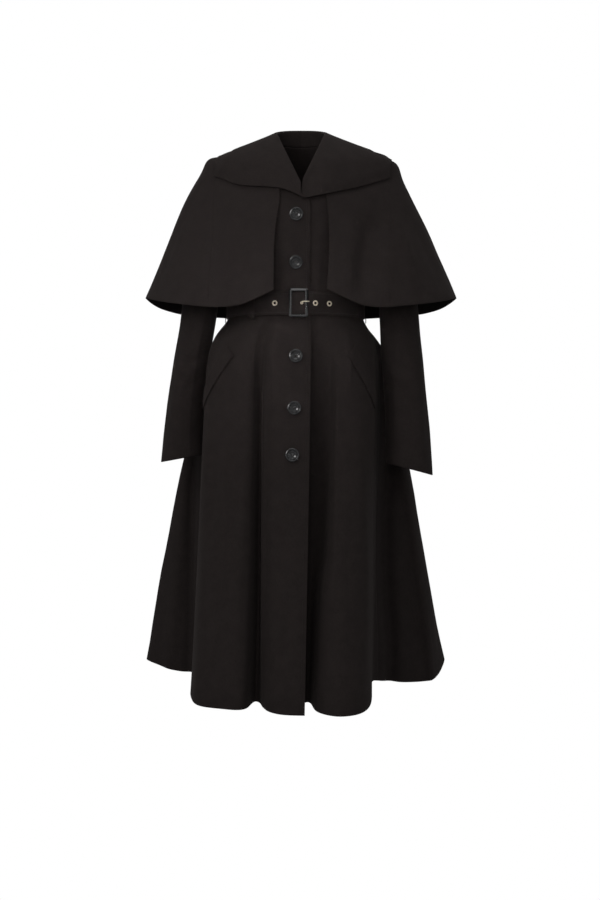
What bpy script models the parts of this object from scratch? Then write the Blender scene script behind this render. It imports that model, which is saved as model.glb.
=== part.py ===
"""A belted wool cape coat in its worn form, hollow and with nobody in it.

Metres, +Z up. The front faces -Y and +X is the wearer's left. The origin is at the base of the
neck, midway between the shoulders, where a wearer carries the coat. Angles run round the body in
degrees from the centre front towards the wearer's right, so 90 is the right side (-X), 180 the
centre back and 270 the left side (+X). Cloth walls are made on smooth surfaces: the torso, the
flared skirt, the sleeves, the cape that hangs from the shoulders, and the collar that rolls over it.
"""

import math
from collections import namedtuple

import bmesh
import bpy
import numpy as np
from mathutils import Matrix, Vector

# Cloth
CLOTH = 0.0026
COLLAR_CLOTH = 0.0030
STRAP = 0.0036
SEAM_GAP = 0.0004
LAYER_GAP = 0.0008

# Torso: half width and the depths to the front and the back at each height
TorsoRow = namedtuple("TorsoRow", "z centre_x half_width front back")
TORSO = (
    TorsoRow(-0.380, -0.011, 0.1380, 0.1120, 0.0950),
    TorsoRow(-0.340, -0.011, 0.1382, 0.1121, 0.0955),
    TorsoRow(-0.290, -0.010, 0.1440, 0.1150, 0.1010),
    TorsoRow(-0.230, -0.007, 0.1550, 0.1210, 0.1100),
    TorsoRow(-0.175, -0.004, 0.1630, 0.1240, 0.1160),
    TorsoRow(-0.120, -0.002, 0.1740, 0.1160, 0.1180),
    TorsoRow(-0.084, 0.0, 0.1830, 0.1010, 0.1130),
    TorsoRow(-0.063, 0.0, 0.1860, 0.0880, 0.1040),
    TorsoRow(-0.055, 0.0, 0.1790, 0.0830, 0.1000),
    TorsoRow(-0.0475, 0.0, 0.1540, 0.0760, 0.0940),
    TorsoRow(-0.0300, 0.0, 0.1080, 0.0660, 0.0835),
    TorsoRow(-0.0165, 0.0, 0.0800, 0.0600, 0.0740),
    TorsoRow(-0.006, 0.0, 0.0660, 0.0570, 0.0680),
    TorsoRow(0.002, 0.0, 0.0560, 0.0540, 0.0620),
)
WAIST_Z = -0.350
LAP_EDGE_X = 0.019
UNDERLAP_X = -0.030
LAP_CURVE = 0.030
STEP_DEPTH = 0.0040
STEP_FULL = 1.6
STEP_FROM = 5.0
BODICE_COLUMNS = (0.0, 0.06, 0.13, 0.21, 0.30, 0.40, 0.51, 0.63, 0.76, 0.88, 1.0)
SIDE_PULL = 3
ARMHOLE_Z = -0.125
ARMHOLE_RISE = 0.064
ARMHOLE_REACH = 27.0
UNDERLAP_TAPER = 0.6
UNDERLAP_TAPER_FROM = 0.8

# Neck seam on the torso, and the roll line that the collar turns over
NeckRow = namedtuple("NeckRow", "angle seam_z roll_x roll_y roll_z")
NECK = (
    NeckRow(0, -0.118, 0.0000, -0.1190, -0.1060),
    NeckRow(5, -0.087, 0.0150, -0.1090, -0.0760),
    NeckRow(9, -0.064, 0.0270, -0.0950, -0.0500),
    NeckRow(16, -0.041, 0.0390, -0.0730, -0.0240),
    NeckRow(36, -0.019, 0.0480, -0.0480, -0.0010),
    NeckRow(60, -0.010, 0.0525, -0.0245, 0.0100),
    NeckRow(90, -0.006, 0.0525, 0.0000, 0.0155),
    NeckRow(125, -0.004, 0.0460, 0.0340, 0.0240),
    NeckRow(155, -0.004, 0.0250, 0.0550, 0.0300),
    NeckRow(180, -0.004, 0.0000, 0.0620, 0.0315),
)
ROLL_RADIUS = 0.0045
ROLL_TURNS = (170.0, 125.0, 80.0, 35.0)
ROLL_STEP = 4.0

# Height of the collar's outer edge on each half, which ends past the centre front
CollarEdgeRow = namedtuple("CollarEdgeRow", "angle right_z left_z")
COLLAR_EDGE = (
    CollarEdgeRow(-1, -0.138, -0.141),
    CollarEdgeRow(5, -0.129, -0.139),
    CollarEdgeRow(9, -0.123, -0.137),
    CollarEdgeRow(16, -0.118, -0.1325),
    CollarEdgeRow(27, -0.1143, -0.1235),
    CollarEdgeRow(38, -0.1118, -0.1158),
    CollarEdgeRow(46, -0.1060, -0.1070),
    CollarEdgeRow(54, -0.0940, -0.0979),
    CollarEdgeRow(60, -0.0879, -0.0916),
    CollarEdgeRow(62.5, -0.0852, -0.0892),
    CollarEdgeRow(63.2, -0.0760, -0.0868),
    CollarEdgeRow(63.9, -0.0655, -0.0835),
    CollarEdgeRow(64.8, -0.0560, -0.0790),
    CollarEdgeRow(67, -0.0467, -0.0665),
    CollarEdgeRow(71, -0.0418, -0.0535),
    CollarEdgeRow(78, -0.0390, -0.0475),
    CollarEdgeRow(86, -0.0375, -0.0452),
    CollarEdgeRow(95, -0.0372, -0.0446),
    CollarEdgeRow(104, -0.0380, -0.0446),
    CollarEdgeRow(114, -0.0415, -0.0465),
    CollarEdgeRow(124, -0.0490, -0.0515),
    CollarEdgeRow(133, -0.0590, -0.0590),
    CollarEdgeRow(142, -0.075, -0.075),
    CollarEdgeRow(152, -0.094, -0.094),
    CollarEdgeRow(165, -0.108, -0.108),
    CollarEdgeRow(180, -0.113, -0.113),
)
COLLAR_RIGHT_SWING = 2.0
COLLAR_LEFT_SWING = -0.3
COLLAR_FRONT_GAP = 0.0046
COLLAR_FRONT_ANGLES = (4.0, 8.0, 13.0, 20.0, 29.0, 38.0, 46.0, 54.0, 60.0)
COLLAR_CORNER_ANGLES = (62.5, 63.2, 63.9, 64.8, 67.0, 71.0, 78.0, 86.0)
COLLAR_BACK_ANGLES = (95.0, 104.0, 114.0, 124.0, 135.0, 148.0, 163.0, 180.0)
COLLAR_FALL_SHARES = (0.22, 0.42, 0.62, 0.81, 1.0)
COLLAR_SWING_REACH = 36.0
COLLAR_SPRING = 0.006
COLLAR_SPRING_REACH = 20.0
COLLAR_UNDER = 0.0050
COLLAR_UNDER_FULL = 4.0
COLLAR_UNDER_END = 14.0
COLLAR_LEFT_START = 0.9
COLLAR_LIFT = 0.0058
COLLAR_SHOULDER_LIFT = 0.0012
COLLAR_SHOULDER_SPREAD = 30.0

# Cape: it lies on the torso down to a break line and hangs from there to its hem
CapeHemRow = namedtuple("CapeHemRow", "angle z")
CAPE_HEM = (
    CapeHemRow(9, -0.326),
    CapeHemRow(16, -0.344),
    CapeHemRow(23, -0.357),
    CapeHemRow(31, -0.360),
    CapeHemRow(45, -0.353),
    CapeHemRow(62, -0.342),
    CapeHemRow(90, -0.329),
    CapeHemRow(115, -0.346),
    CapeHemRow(145, -0.358),
    CapeHemRow(180, -0.361),
)
CapeFluteRow = namedtuple("CapeFluteRow", "angle spread rise")
CAPE_FLUTES = (
    CapeFluteRow(26, 9, -0.006),
    CapeFluteRow(50, 13, 0.009),
    CapeFluteRow(128, 12, 0.008),
    CapeFluteRow(150, 11, -0.008),
    CapeFluteRow(180, 14, 0.006),
    CapeFluteRow(212, 11, -0.008),
    CapeFluteRow(234, 12, 0.008),
    CapeFluteRow(306, 12, 0.008),
    CapeFluteRow(331, 9, -0.011),
)
CapeEdgeRow = namedtuple("CapeEdgeRow", "drop right_x left_x")
CAPE_EDGE = (
    CapeEdgeRow(0.00, 0.043, 0.050),
    CapeEdgeRow(0.31, 0.043, 0.0515),
    CapeEdgeRow(0.45, 0.050, 0.0555),
    CapeEdgeRow(0.56, 0.0535, 0.0585),
    CapeEdgeRow(0.66, 0.0546, 0.0575),
    CapeEdgeRow(0.80, 0.0546, 0.0550),
    CapeEdgeRow(1.00, 0.0546, 0.0515),
)
CAPE_HALF_WIDTH = 0.3245
CAPE_FRONT = 0.170
CAPE_BACK = 0.186
CAPE_BREAK_FRONT = -0.165
CAPE_BREAK_SIDE = -0.059
CAPE_BREAK_BACK = -0.115
CAPE_BREAK_POWER = 3.2
CAPE_SEAM_TOP_X = 0.176
CAPE_SEAM_HEM_X = 0.184
CAPE_BACK_SEAM = 128.0
CAPE_STRAIGHT_RIGHT = 0.50
CAPE_STRAIGHT_LEFT = 0.85
CAPE_LYING = 0.35
CAPE_LYING_SHARES = (0.0, 0.2, 0.4, 0.58, 0.74, 0.88, 1.0)
CAPE_TOP_DROP = 0.005
CAPE_LEAVE_STEP = 0.004
SEARCH_FROM = 2.0
SEARCH_TO = 85.0
SEARCH_ROUNDS = 24
CAPE_NECK_GAP = 0.0013
CAPE_HANG_GAP = 0.0024
SHOULDER_ROOM = 0.008
SHOULDER_SPREAD = 42.0

# Sleeve sections from the upper arm to the cuff
SleeveRow = namedtuple("SleeveRow", "z centre_x centre_y half_width half_depth outer_drop")
SLEEVE_RIGHT = (
    SleeveRow(-0.235, 0.2040, 0.002, 0.0390, 0.0550, 0.0),
    SleeveRow(-0.300, 0.2060, 0.003, 0.0390, 0.0560, 0.0),
    SleeveRow(-0.360, 0.2100, 0.003, 0.0385, 0.0550, 0.0),
    SleeveRow(-0.437, 0.2240, 0.003, 0.0370, 0.0530, 0.0),
    SleeveRow(-0.541, 0.2405, 0.000, 0.0390, 0.0490, 0.003),
    SleeveRow(-0.610, 0.2450, 0.000, 0.0420, 0.0465, 0.006),
    SleeveRow(-0.662, 0.2460, 0.000, 0.0465, 0.0450, 0.008),
)
SLEEVE_LEFT = (
    SleeveRow(-0.235, 0.2000, 0.002, 0.0390, 0.0550, 0.0),
    SleeveRow(-0.300, 0.2015, 0.003, 0.0405, 0.0560, 0.0),
    SleeveRow(-0.360, 0.2030, 0.002, 0.0420, 0.0550, 0.0),
    SleeveRow(-0.437, 0.2080, -0.003, 0.0435, 0.0530, 0.0),
    SleeveRow(-0.541, 0.2175, -0.015, 0.0455, 0.0490, 0.004),
    SleeveRow(-0.620, 0.2215, -0.027, 0.0480, 0.0465, 0.008),
    SleeveRow(-0.684, 0.2225, -0.035, 0.0500, 0.0450, 0.013),
)
SLEEVE_RUNS = (0.0, 0.12, 0.28, 0.46, 0.66, 0.84, 1.0, 2.0, 3.0, 4.0, 5.0, 6.0, 7.0)
SLEEVE_SEAM = 112.5
SLEEVE_STEP = 22.5
CAP_GAP_ANGLE = 0.12
CAP_SPRING = 0.030
CAP_TILT = 0.25
CAP_FALL = 0.130
CAP_SIDE_FALL = 0.6

# Skirt: where each fold's ridge or valley meets the hem, by the angle that it leaves the waist at
FoldRow = namedtuple("FoldRow", "angle x y z")
SKIRT_FOLDS = (
    FoldRow(-12.6, 0.0070, -0.250, -1.157),
    FoldRow(4, -0.0340, -0.252, -1.156),
    FoldRow(13, -0.0600, -0.236, -1.153),
    FoldRow(21, -0.0880, -0.142, -1.144),
    FoldRow(29, -0.1120, -0.232, -1.150),
    FoldRow(43, -0.1600, -0.216, -1.149),
    FoldRow(58, -0.2060, -0.188, -1.147),
    FoldRow(70, -0.2225, -0.120, -1.130),
    FoldRow(81, -0.2050, -0.050, -1.118),
    FoldRow(92, -0.1750, 0.005, -1.118),
    FoldRow(106, -0.2450, 0.080, -1.119),
    FoldRow(120, -0.3380, 0.155, -1.099),
    FoldRow(127, -0.3120, 0.205, -1.100),
    FoldRow(137, -0.2450, 0.215, -1.112),
    FoldRow(153, -0.1820, 0.292, -1.127),
    FoldRow(164, -0.1180, 0.260, -1.134),
    FoldRow(180, -0.0060, 0.306, -1.140),
    FoldRow(196, 0.1060, 0.258, -1.134),
    FoldRow(207, 0.1700, 0.290, -1.127),
    FoldRow(228, 0.2320, 0.212, -1.112),
    FoldRow(238, 0.2880, 0.208, -1.102),
    FoldRow(245, 0.3150, 0.160, -1.096),
    FoldRow(250, 0.2970, 0.115, -1.127),
    FoldRow(255, 0.2640, 0.082, -1.138),
    FoldRow(263, 0.1900, 0.045, -1.135),
    FoldRow(272, 0.1500, 0.000, -1.124),
    FoldRow(283, 0.1435, -0.080, -1.129),
    FoldRow(293, 0.1400, -0.165, -1.143),
    FoldRow(302, 0.1180, -0.232, -1.156),
    FoldRow(314, 0.0740, -0.261, -1.158),
    FoldRow(326, 0.0300, -0.230, -1.153),
    FoldRow(340, 0.0160, -0.142, -1.147),
    FoldRow(350, 0.0040, -0.162, -1.149),
    FoldRow(368, -0.0420, -0.230, -1.155),
)
LAP_EDGE_ANGLE = -12.6
UNDERLAP_ANGLE = 368.0
UNDERLAP_FROM = 341.0
UNDERLAP_FULL = 346.5
SIDE_SEAM = 92.0
HIP_CENTRE_X = -0.0135
HIP_HALF_WIDTH = 0.190
HIP_FRONT = 0.130
HIP_BACK = 0.135
HEM_CENTRE_X = -0.009
HEM_HALF_WIDTH = 0.250
HEM_FRONT = 0.225
HEM_BACK = 0.265
FOLD_SHARE = 0.15
BELT_SHARE = 0.033
NIP_REACH = 0.20
NIP_POWER = 4.0
SKIRT_COLUMN = 0.025
SKIRT_LEVELS = (0.0, 0.033, 0.06, 0.10, 0.15, 0.22, 0.36, 0.57, 0.79, 1.0)

# Belt, carriers, buckle, prong and eyelets
BELT_Z = -0.350
BELT_HEIGHT = 0.046
BELT_HALF_WIDTH = 0.1408
BELT_FRONT = 0.1140
BELT_BACK = 0.0990
BELT_START = 0.5
BELT_RISE_FROM = 335.0
BELT_RISE_TO = 347.0
BELT_TIP = 430.0
CARRIER_CLOTH = 0.0015
CARRIER_TOP = -0.319
CARRIER_BOTTOM = -0.382
CARRIER_TOP_LIFT = 0.0024
CARRIER_BOTTOM_LIFT = 0.0055
CarrierRow = namedtuple("CarrierRow", "name angle width belt_layers")
CARRIERS = (
    CarrierRow("belt_carrier_front_right", 36.0, 0.012, 2),
    CarrierRow("belt_carrier_side_right", 90.0, 0.007, 1),
    CarrierRow("belt_carrier_side_left", 270.0, 0.007, 1),
)
BUCKLE_X = -0.0052
BUCKLE_WIDTH = 0.039
BUCKLE_HEIGHT = 0.059
BUCKLE_CORNER = 0.006
BUCKLE_BAR = 0.0065
BUCKLE_THICK = 0.0046
BarRow = namedtuple("BarRow", "inset_share rise_share")
BUCKLE_SECTION = (
    BarRow(0.0, 0.0),
    BarRow(0.0, 0.45),
    BarRow(0.30, 1.0),
    BarRow(0.72, 1.0),
    BarRow(1.0, 0.55),
    BarRow(1.0, 0.0),
)
BUCKLE_CORNER_INNER = 0.0021
CENTRE_BAR_X = -0.0022
CENTRE_BAR_WIDTH = 0.0050
CENTRE_BAR_THICK = 0.0024
CENTRE_BAR_INSET = 0.0015
PRONG_RADIUS = 0.0016
PRONG_REACH = 0.0165
ProngRow = namedtuple("ProngRow", "x_share climb rise radius_share")
PRONG_LINE = (
    ProngRow(0.0, 0.0, 0.0, 1.0),
    ProngRow(0.013, 0.60, 0.0003, 1.0),
    ProngRow(0.08, 0.88, 0.0006, 1.0),
    ProngRow(0.23, 1.0, 0.0011, 1.0),
    ProngRow(0.87, 1.0, 0.0032, 1.0),
    ProngRow(1.0, 1.0, 0.0036, 0.6),
)
EYELET_X = (-0.0527, 0.0016, 0.0290, 0.0592)
EYELET_RADIUS = 0.0057
EYELET_HOLE = 0.0024
EYELET_RISE = 0.0011
EYELET_STEPS = 14
EyeletRow = namedtuple("EyeletRow", "out_share rise_share")
EYELET_PROFILE = (
    EyeletRow(0.0, 0.0),
    EyeletRow(1.0, 0.0),
    EyeletRow(0.88, 0.6),
    EyeletRow(0.5, 1.0),
    EyeletRow(0.25, 0.8),
)

# Buttons and pockets
BUTTON_RADIUS = 0.0140
ButtonRow = namedtuple("ButtonRow", "radius_share height")
BUTTON_PROFILE = (
    ButtonRow(0.0, 0.0022),
    ButtonRow(0.40, 0.0022),
    ButtonRow(0.50, 0.0034),
    ButtonRow(0.72, 0.0030),
    ButtonRow(0.88, 0.0048),
    ButtonRow(1.0, 0.0034),
    ButtonRow(0.90, 0.0),
    ButtonRow(0.0, 0.0),
)
BUTTON_X = (-0.009, -0.010, -0.010, -0.013, -0.017)
BUTTON_Z = (-0.172, -0.268, -0.458, -0.562, -0.655)
BUTTON_STEPS = 18
WELT_START_ANGLE = 41.0
WELT_TURN = 27.0
WELT_START_Z = -0.456
WELT_FALL = 0.105
WELT_WIDTH_TURN = 6.5
WELT_WIDTH_RISE = 0.022
WELT_CLOTH = 0.0018

# Colours: base colour, roughness, metallic
WOOL = ((0.0190, 0.0160, 0.0152), 0.92, 0.0)
BUTTON_BLACK = ((0.0150, 0.0150, 0.0160), 0.32, 0.0)
BUCKLE_BLACK = ((0.0200, 0.0200, 0.0210), 0.38, 0.0)
PALE_GOLD = ((0.8000, 0.7200, 0.5600), 0.24, 1.0)


def curve_through(xs, ys):
    """A smooth curve through the points that never swings past them, as a function of x."""
    widths = [right - left for left, right in zip(xs, xs[1:])]
    slopes = [(right - left) / width for left, right, width in zip(ys, ys[1:], widths)]
    tangents = [slopes[0]]
    for before, after in zip(slopes, slopes[1:]):
        same_way = before * after > 0
        tangents.append(2.0 * before * after / (before + after) if same_way else 0.0)
    tangents.append(slopes[-1])

    def value(x):
        index = int(np.clip(np.searchsorted(xs, x) - 1, 0, len(widths) - 1))
        share = (x - xs[index]) / widths[index]
        if share < 0.0:
            return ys[0] + tangents[0] * (x - xs[0])
        if share > 1.0:
            return ys[-1] + tangents[-1] * (x - xs[-1])
        start = ys[index] * (1.0 + 2.0 * share) * (1.0 - share) ** 2
        end = ys[index + 1] * share * share * (3.0 - 2.0 * share)
        leave = tangents[index] * widths[index] * share * (1.0 - share) ** 2
        arrive = tangents[index + 1] * widths[index] * share * share * (share - 1.0)
        return start + end + leave + arrive

    return value


def table_curves(rows):
    """Each column of a table as a smooth function of its first column, by the column's name."""
    first = [row[0] for row in rows]
    return type(rows[0])(*[curve_through(first, list(column)) for column in zip(*rows)])


TORSO_AT = table_curves(TORSO)
NECK_AT = table_curves(NECK)
COLLAR_EDGE_AT = table_curves(COLLAR_EDGE)
CAPE_HEM_AT = table_curves(CAPE_HEM)
CAPE_EDGE_AT = table_curves(CAPE_EDGE)
FOLDS_AT = table_curves(SKIRT_FOLDS)


def blend(start, end, share):
    return start + (end - start) * share


def ease(low, high, x):
    """0 below low, 1 above high, and a smooth step between them."""
    share = min(max((x - low) / (high - low), 0.0), 1.0)
    return share * share * (3.0 - 2.0 * share)


def folded(angle):
    """The angle from the centre front, whichever side it is on."""
    return abs((angle + 180.0) % 360.0 - 180.0)


def oval(angle, centre_x, half_width, front, back):
    """A plan point on an oval that is deeper or flatter at its back than at its front."""
    turn = math.radians(angle)
    depth = front if math.cos(turn) > 0.0 else back
    return np.array((centre_x - half_width * math.sin(turn), -depth * math.cos(turn)))


def unit(vector):
    return vector / np.linalg.norm(vector)


def normal_at(surface, u, v, facing, u_step=0.4, v_step=0.002):
    """The outward normal of a surface; facing is -1 where its second value runs upwards."""
    across = surface(u + u_step, v) - surface(u - u_step, v)
    along = surface(u, v + v_step) - surface(u, v - v_step)
    return facing * unit(np.cross(across, along))


def torso(angle, z):
    plan = oval(angle, TORSO_AT.centre_x(z), TORSO_AT.half_width(z), TORSO_AT.front(z), TORSO_AT.back(z))
    return np.array((plan[0], plan[1], z))


def torso_angle(x, z):
    """The angle of a torso point on the front, from its x."""
    return math.degrees(math.asin((TORSO_AT.centre_x(z) - x) / TORSO_AT.half_width(z)))


def lap_edge_x(z):
    """The right front's edge: straight, then curving in to the point of the neck."""
    return LAP_EDGE_X * ease(-NECK[0].seam_z, -NECK[0].seam_z + LAP_CURVE, -z)


def skirt(angle, drop):
    """A skirt point: drop runs from 0 at the waist to 1 at the hem along nearly straight folds."""
    waist = torso(angle, WAIST_Z)[:2]
    hem = np.array((FOLDS_AT.x(angle), FOLDS_AT.y(angle)))
    smooth_hem = oval(angle, HEM_CENTRE_X, HEM_HALF_WIDTH, HEM_FRONT, HEM_BACK)
    hip = oval(angle, HIP_CENTRE_X, HIP_HALF_WIDTH, HIP_FRONT, HIP_BACK) + FOLD_SHARE * (hem - smooth_hem)
    flare = max(0.0, (drop - BELT_SHARE) / (1.0 - BELT_SHARE))
    nip = max(0.0, 1.0 - flare / NIP_REACH) ** NIP_POWER
    plan = blend(hip, hem, flare) - (hip - waist) * nip
    return np.array((plan[0], plan[1], blend(WAIST_Z, FOLDS_AT.z(angle), drop)))


def skirt_at(x, z, angle):
    """The angle and drop of a skirt point with this x and z, starting from a near angle."""
    drop = 0.0
    for _ in range(SEARCH_ROUNDS):
        drop = (z - WAIST_Z) / (FOLDS_AT.z(angle) - WAIST_Z)
        slope = skirt(angle + 0.5, drop)[0] - skirt(angle - 0.5, drop)[0]
        angle -= (skirt(angle, drop)[0] - x) / slope
    return angle, drop


def cape_break_z(angle):
    """The height at which the cape leaves the torso: low on the chest, high on the shoulders."""
    low = CAPE_BREAK_FRONT if folded(angle) < 90.0 else CAPE_BREAK_BACK
    return blend(CAPE_BREAK_SIDE, low, abs(math.cos(math.radians(angle))) ** CAPE_BREAK_POWER)


def cape_lying(angle, z):
    """The cape where it lies on the torso, with room for the sleeve head at the shoulder."""
    room = SHOULDER_ROOM * math.exp(-(((folded(angle) - 90.0) / SHOULDER_SPREAD) ** 4))
    near_tip = ease(-NECK_AT.seam_z(90.0) + CAPE_TOP_DROP, -CAPE_BREAK_SIDE, -z)
    lift = CLOTH + blend(CAPE_NECK_GAP, CAPE_HANG_GAP + room, near_tip)
    return torso(angle, z) + lift * normal_at(torso, angle, z, -1)


def cape_hem(angle):
    flute = sum(
        row.rise * math.exp(-(((angle % 360.0 - row.angle) / row.spread) ** 2)) for row in CAPE_FLUTES
    )
    z = CAPE_HEM_AT.z(folded(angle))
    plan = oval(angle, 0.0, CAPE_HALF_WIDTH, CAPE_FRONT, CAPE_BACK)
    plan = plan + flute * unit(plan)
    return np.array((plan[0], plan[1], z))


def cape(angle, drop):
    """A cape point: drop runs from 0 at the neck seam to 1 at the hem."""
    top_z = NECK_AT.seam_z(folded(angle)) - CAPE_TOP_DROP
    break_z = cape_break_z(angle)
    if drop < CAPE_LYING:
        return cape_lying(angle, blend(top_z, break_z, drop / CAPE_LYING))
    share = (drop - CAPE_LYING) / (1.0 - CAPE_LYING)
    leave = cape_lying(angle, break_z)
    hem = cape_hem(angle)
    chord = np.linalg.norm(hem - leave)
    most_straight = CAPE_STRAIGHT_RIGHT if angle < 180.0 else CAPE_STRAIGHT_LEFT
    straight = most_straight * math.sin(math.radians(angle)) ** 2
    lying_way = unit(leave - cape_lying(angle, break_z + CAPE_LEAVE_STEP))
    run = chord * unit(blend(lying_way, (hem - leave) / chord, straight))
    start = leave * (1.0 + 2.0 * share) * (1.0 - share) ** 2 + run * share * (1.0 - share) ** 2
    end = hem * share * share * (3.0 - 2.0 * share) + (hem - leave) * share * share * (share - 1.0)
    return start + end


def cape_drop_at(angle, z):
    """The drop at which the cape passes a height."""
    low, high = 0.0, 1.0
    for _ in range(SEARCH_ROUNDS):
        middle = 0.5 * (low + high)
        if cape(angle, middle)[2] > z:
            low = middle
        else:
            high = middle
    return 0.5 * (low + high)


def cape_angle_at(outward_x, x, drop):
    """The angle from the centre front at which one side of the cape stands this far from the middle."""
    low, high = SEARCH_FROM, SEARCH_TO
    for _ in range(SEARCH_ROUNDS):
        middle = 0.5 * (low + high)
        angle = middle if outward_x < 0.0 else 360.0 - middle
        if outward_x * cape(angle, drop)[0] < x:
            low = middle
        else:
            high = middle
    return 0.5 * (low + high)


def cape_seam_angle(drop):
    """The seam in front of the arm: down from the shoulder, then hanging nearly straight."""
    hanging = max(drop, CAPE_LYING)
    share = (hanging - CAPE_LYING) / (1.0 - CAPE_LYING)
    return cape_angle_at(-1.0, blend(CAPE_SEAM_TOP_X, CAPE_SEAM_HEM_X, share), hanging)


def roll_line(angle):
    """The fold that the collar turns over."""
    side = folded(angle)
    outward_x = -1.0 if angle % 360.0 <= 180.0 else 1.0
    return np.array((outward_x * NECK_AT.roll_x(side), NECK_AT.roll_y(side), NECK_AT.roll_z(side)))


def collar_profile(angle, right_half):
    """The collar's line at an angle, up the stand, over the roll and down to its edge, and how it faces."""
    side = folded(angle)
    front_share = 1.0 - ease(0.0, COLLAR_SWING_REACH, side)
    seam = torso(angle, NECK_AT.seam_z(side) + blend(LAYER_GAP, COLLAR_FRONT_GAP, front_share))
    roll = roll_line(angle)
    along = unit(roll_line(angle + ROLL_STEP) - roll_line(angle - ROLL_STEP))
    crest = unit(np.array((0.0, 0.0, 1.0)) - along[2] * along)
    outward = np.cross(crest, along)
    arc, ways = [], []
    for degrees in ROLL_TURNS:
        turn = math.radians(degrees)
        ways.append(math.cos(turn) * outward + math.sin(turn) * crest)
        arc.append(roll + ROLL_RADIUS * (ways[-1] - crest))
    line = [seam, blend(seam, arc[0], 0.5)] + arc
    ways = [-outward, -outward] + ways
    swing = (COLLAR_RIGHT_SWING if right_half else COLLAR_LEFT_SWING) * front_share
    end_angle = angle - swing if right_half else angle + swing
    edge_z = (COLLAR_EDGE_AT.right_z if right_half else COLLAR_EDGE_AT.left_z)(side - swing)
    near_z = NECK_AT.seam_z(side) - CAPE_TOP_DROP - LAYER_GAP
    under = 0.0 if right_half else COLLAR_UNDER * (1.0 - ease(COLLAR_UNDER_FULL, COLLAR_UNDER_END, side))
    spring = COLLAR_SPRING * ease(0.0, COLLAR_SPRING_REACH, side)
    over_shoulder = math.exp(-(((side - 90.0) / COLLAR_SHOULDER_SPREAD) ** 4))
    for share in COLLAR_FALL_SHARES:
        turn = blend(angle, end_angle, share)
        drop = cape_drop_at(turn, blend(near_z, edge_z, share))
        ways.append(normal_at(cape, turn, drop, 1))
        lift = COLLAR_LIFT + COLLAR_SHOULDER_LIFT * over_shoulder - under
        lift += spring * (1.0 - ease(0.1, 0.7, share))
        line.append(cape(turn, drop) + lift * ways[-1])
    return line, ways


def sleeve(rows, outward_x, around, run):
    """A sleeve point: run is 0 to 1 over the cap from the armhole and counts sections after it."""
    at = table_curves([SleeveRow(index, *row[1:]) for index, row in enumerate(rows)])
    levels = curve_through(list(range(len(rows))), [row.z for row in rows])
    turn = math.radians(around)

    def ring(section):
        return np.array(
            (
                outward_x * (at.centre_x(section) + at.half_width(section) * math.cos(turn)),
                at.centre_y(section) - at.half_depth(section) * math.sin(turn),
                levels(section) - at.outer_drop(section) * math.cos(turn),
            )
        )

    if run >= 1.0:
        return ring(run - 1.0)
    angle = 90.0 - (ARMHOLE_REACH - CAP_GAP_ANGLE) * math.sin(turn)
    if outward_x > 0.0:
        angle = 360.0 - angle
    z = ARMHOLE_Z + (ARMHOLE_RISE - SEAM_GAP) * math.cos(turn)
    start = torso(angle, z)
    spring = CAP_SPRING * unit(np.array((outward_x, 0.0, CAP_TILT * math.cos(turn))))
    fall = np.array((0.0, 0.0, -CAP_FALL * blend(math.cos(turn), 1.0, CAP_SIDE_FALL)))
    end = ring(0.0)
    first = start * (1.0 + 2.0 * run) * (1.0 - run) ** 2 + spring * run * (1.0 - run) ** 2
    last = end * run * run * (3.0 - 2.0 * run) + fall * run * run * (run - 1.0)
    return first + last


def belt_line(angle, lift):
    return oval(angle, TORSO[0].centre_x, BELT_HALF_WIDTH + lift, BELT_FRONT + lift, BELT_BACK + lift)


def belt_lift(angle):
    """The strap lies on the waist, then climbs on to its own first turn as it nears the buckle."""
    return (STRAP + LAYER_GAP) * ease(BELT_RISE_FROM, BELT_RISE_TO, angle)


def belt_angle(x, lift):
    return math.degrees(math.asin((TORSO[0].centre_x - x) / (BELT_HALF_WIDTH + lift)))


def material_of(name, finish):
    colour, roughness, metallic = finish
    material = bpy.data.materials.new(name)
    material.use_nodes = True
    shader = material.node_tree.nodes["Principled BSDF"]
    shader.inputs["Base Color"].default_value = (*colour, 1.0)
    shader.inputs["Roughness"].default_value = roughness
    shader.inputs["Metallic"].default_value = metallic
    return material


def add_object(name, mesh, finish, sharp_angle=40.0):
    mesh.materials.clear()
    mesh.materials.append(material_of(name, finish))
    mesh.shade_smooth()
    mesh.set_sharp_from_angle(angle=math.radians(sharp_angle))
    made = bpy.data.objects.new(name, mesh)
    bpy.context.scene.collection.objects.link(made)
    return made


def mesh_from(name, points, faces):
    made = bmesh.new()
    corners = [made.verts.new(point) for point in points]
    for face in faces:
        made.faces.new([corners[index] for index in face])
    bmesh.ops.recalc_face_normals(made, faces=made.faces)
    mesh = bpy.data.meshes.new(name)
    made.to_mesh(mesh)
    made.free()
    return mesh


def pull_in(grid, trims):
    """Draw the named edges of a grid of points in by half a seam gap."""
    pulled = grid.copy()
    inner_of = {"first_row": (0, 1), "last_row": (-1, -2), "first_column": (0, 1), "last_column": (-1, -2)}
    for trim in trims:
        edge, inner = inner_of[trim]
        if trim.endswith("row"):
            step = grid[inner] - grid[edge]
            pulled[edge] += 0.5 * SEAM_GAP * step / np.linalg.norm(step, axis=1, keepdims=True)
        else:
            step = grid[:, inner] - grid[:, edge]
            pulled[:, edge] += 0.5 * SEAM_GAP * step / np.linalg.norm(step, axis=1, keepdims=True)
    return pulled


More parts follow.
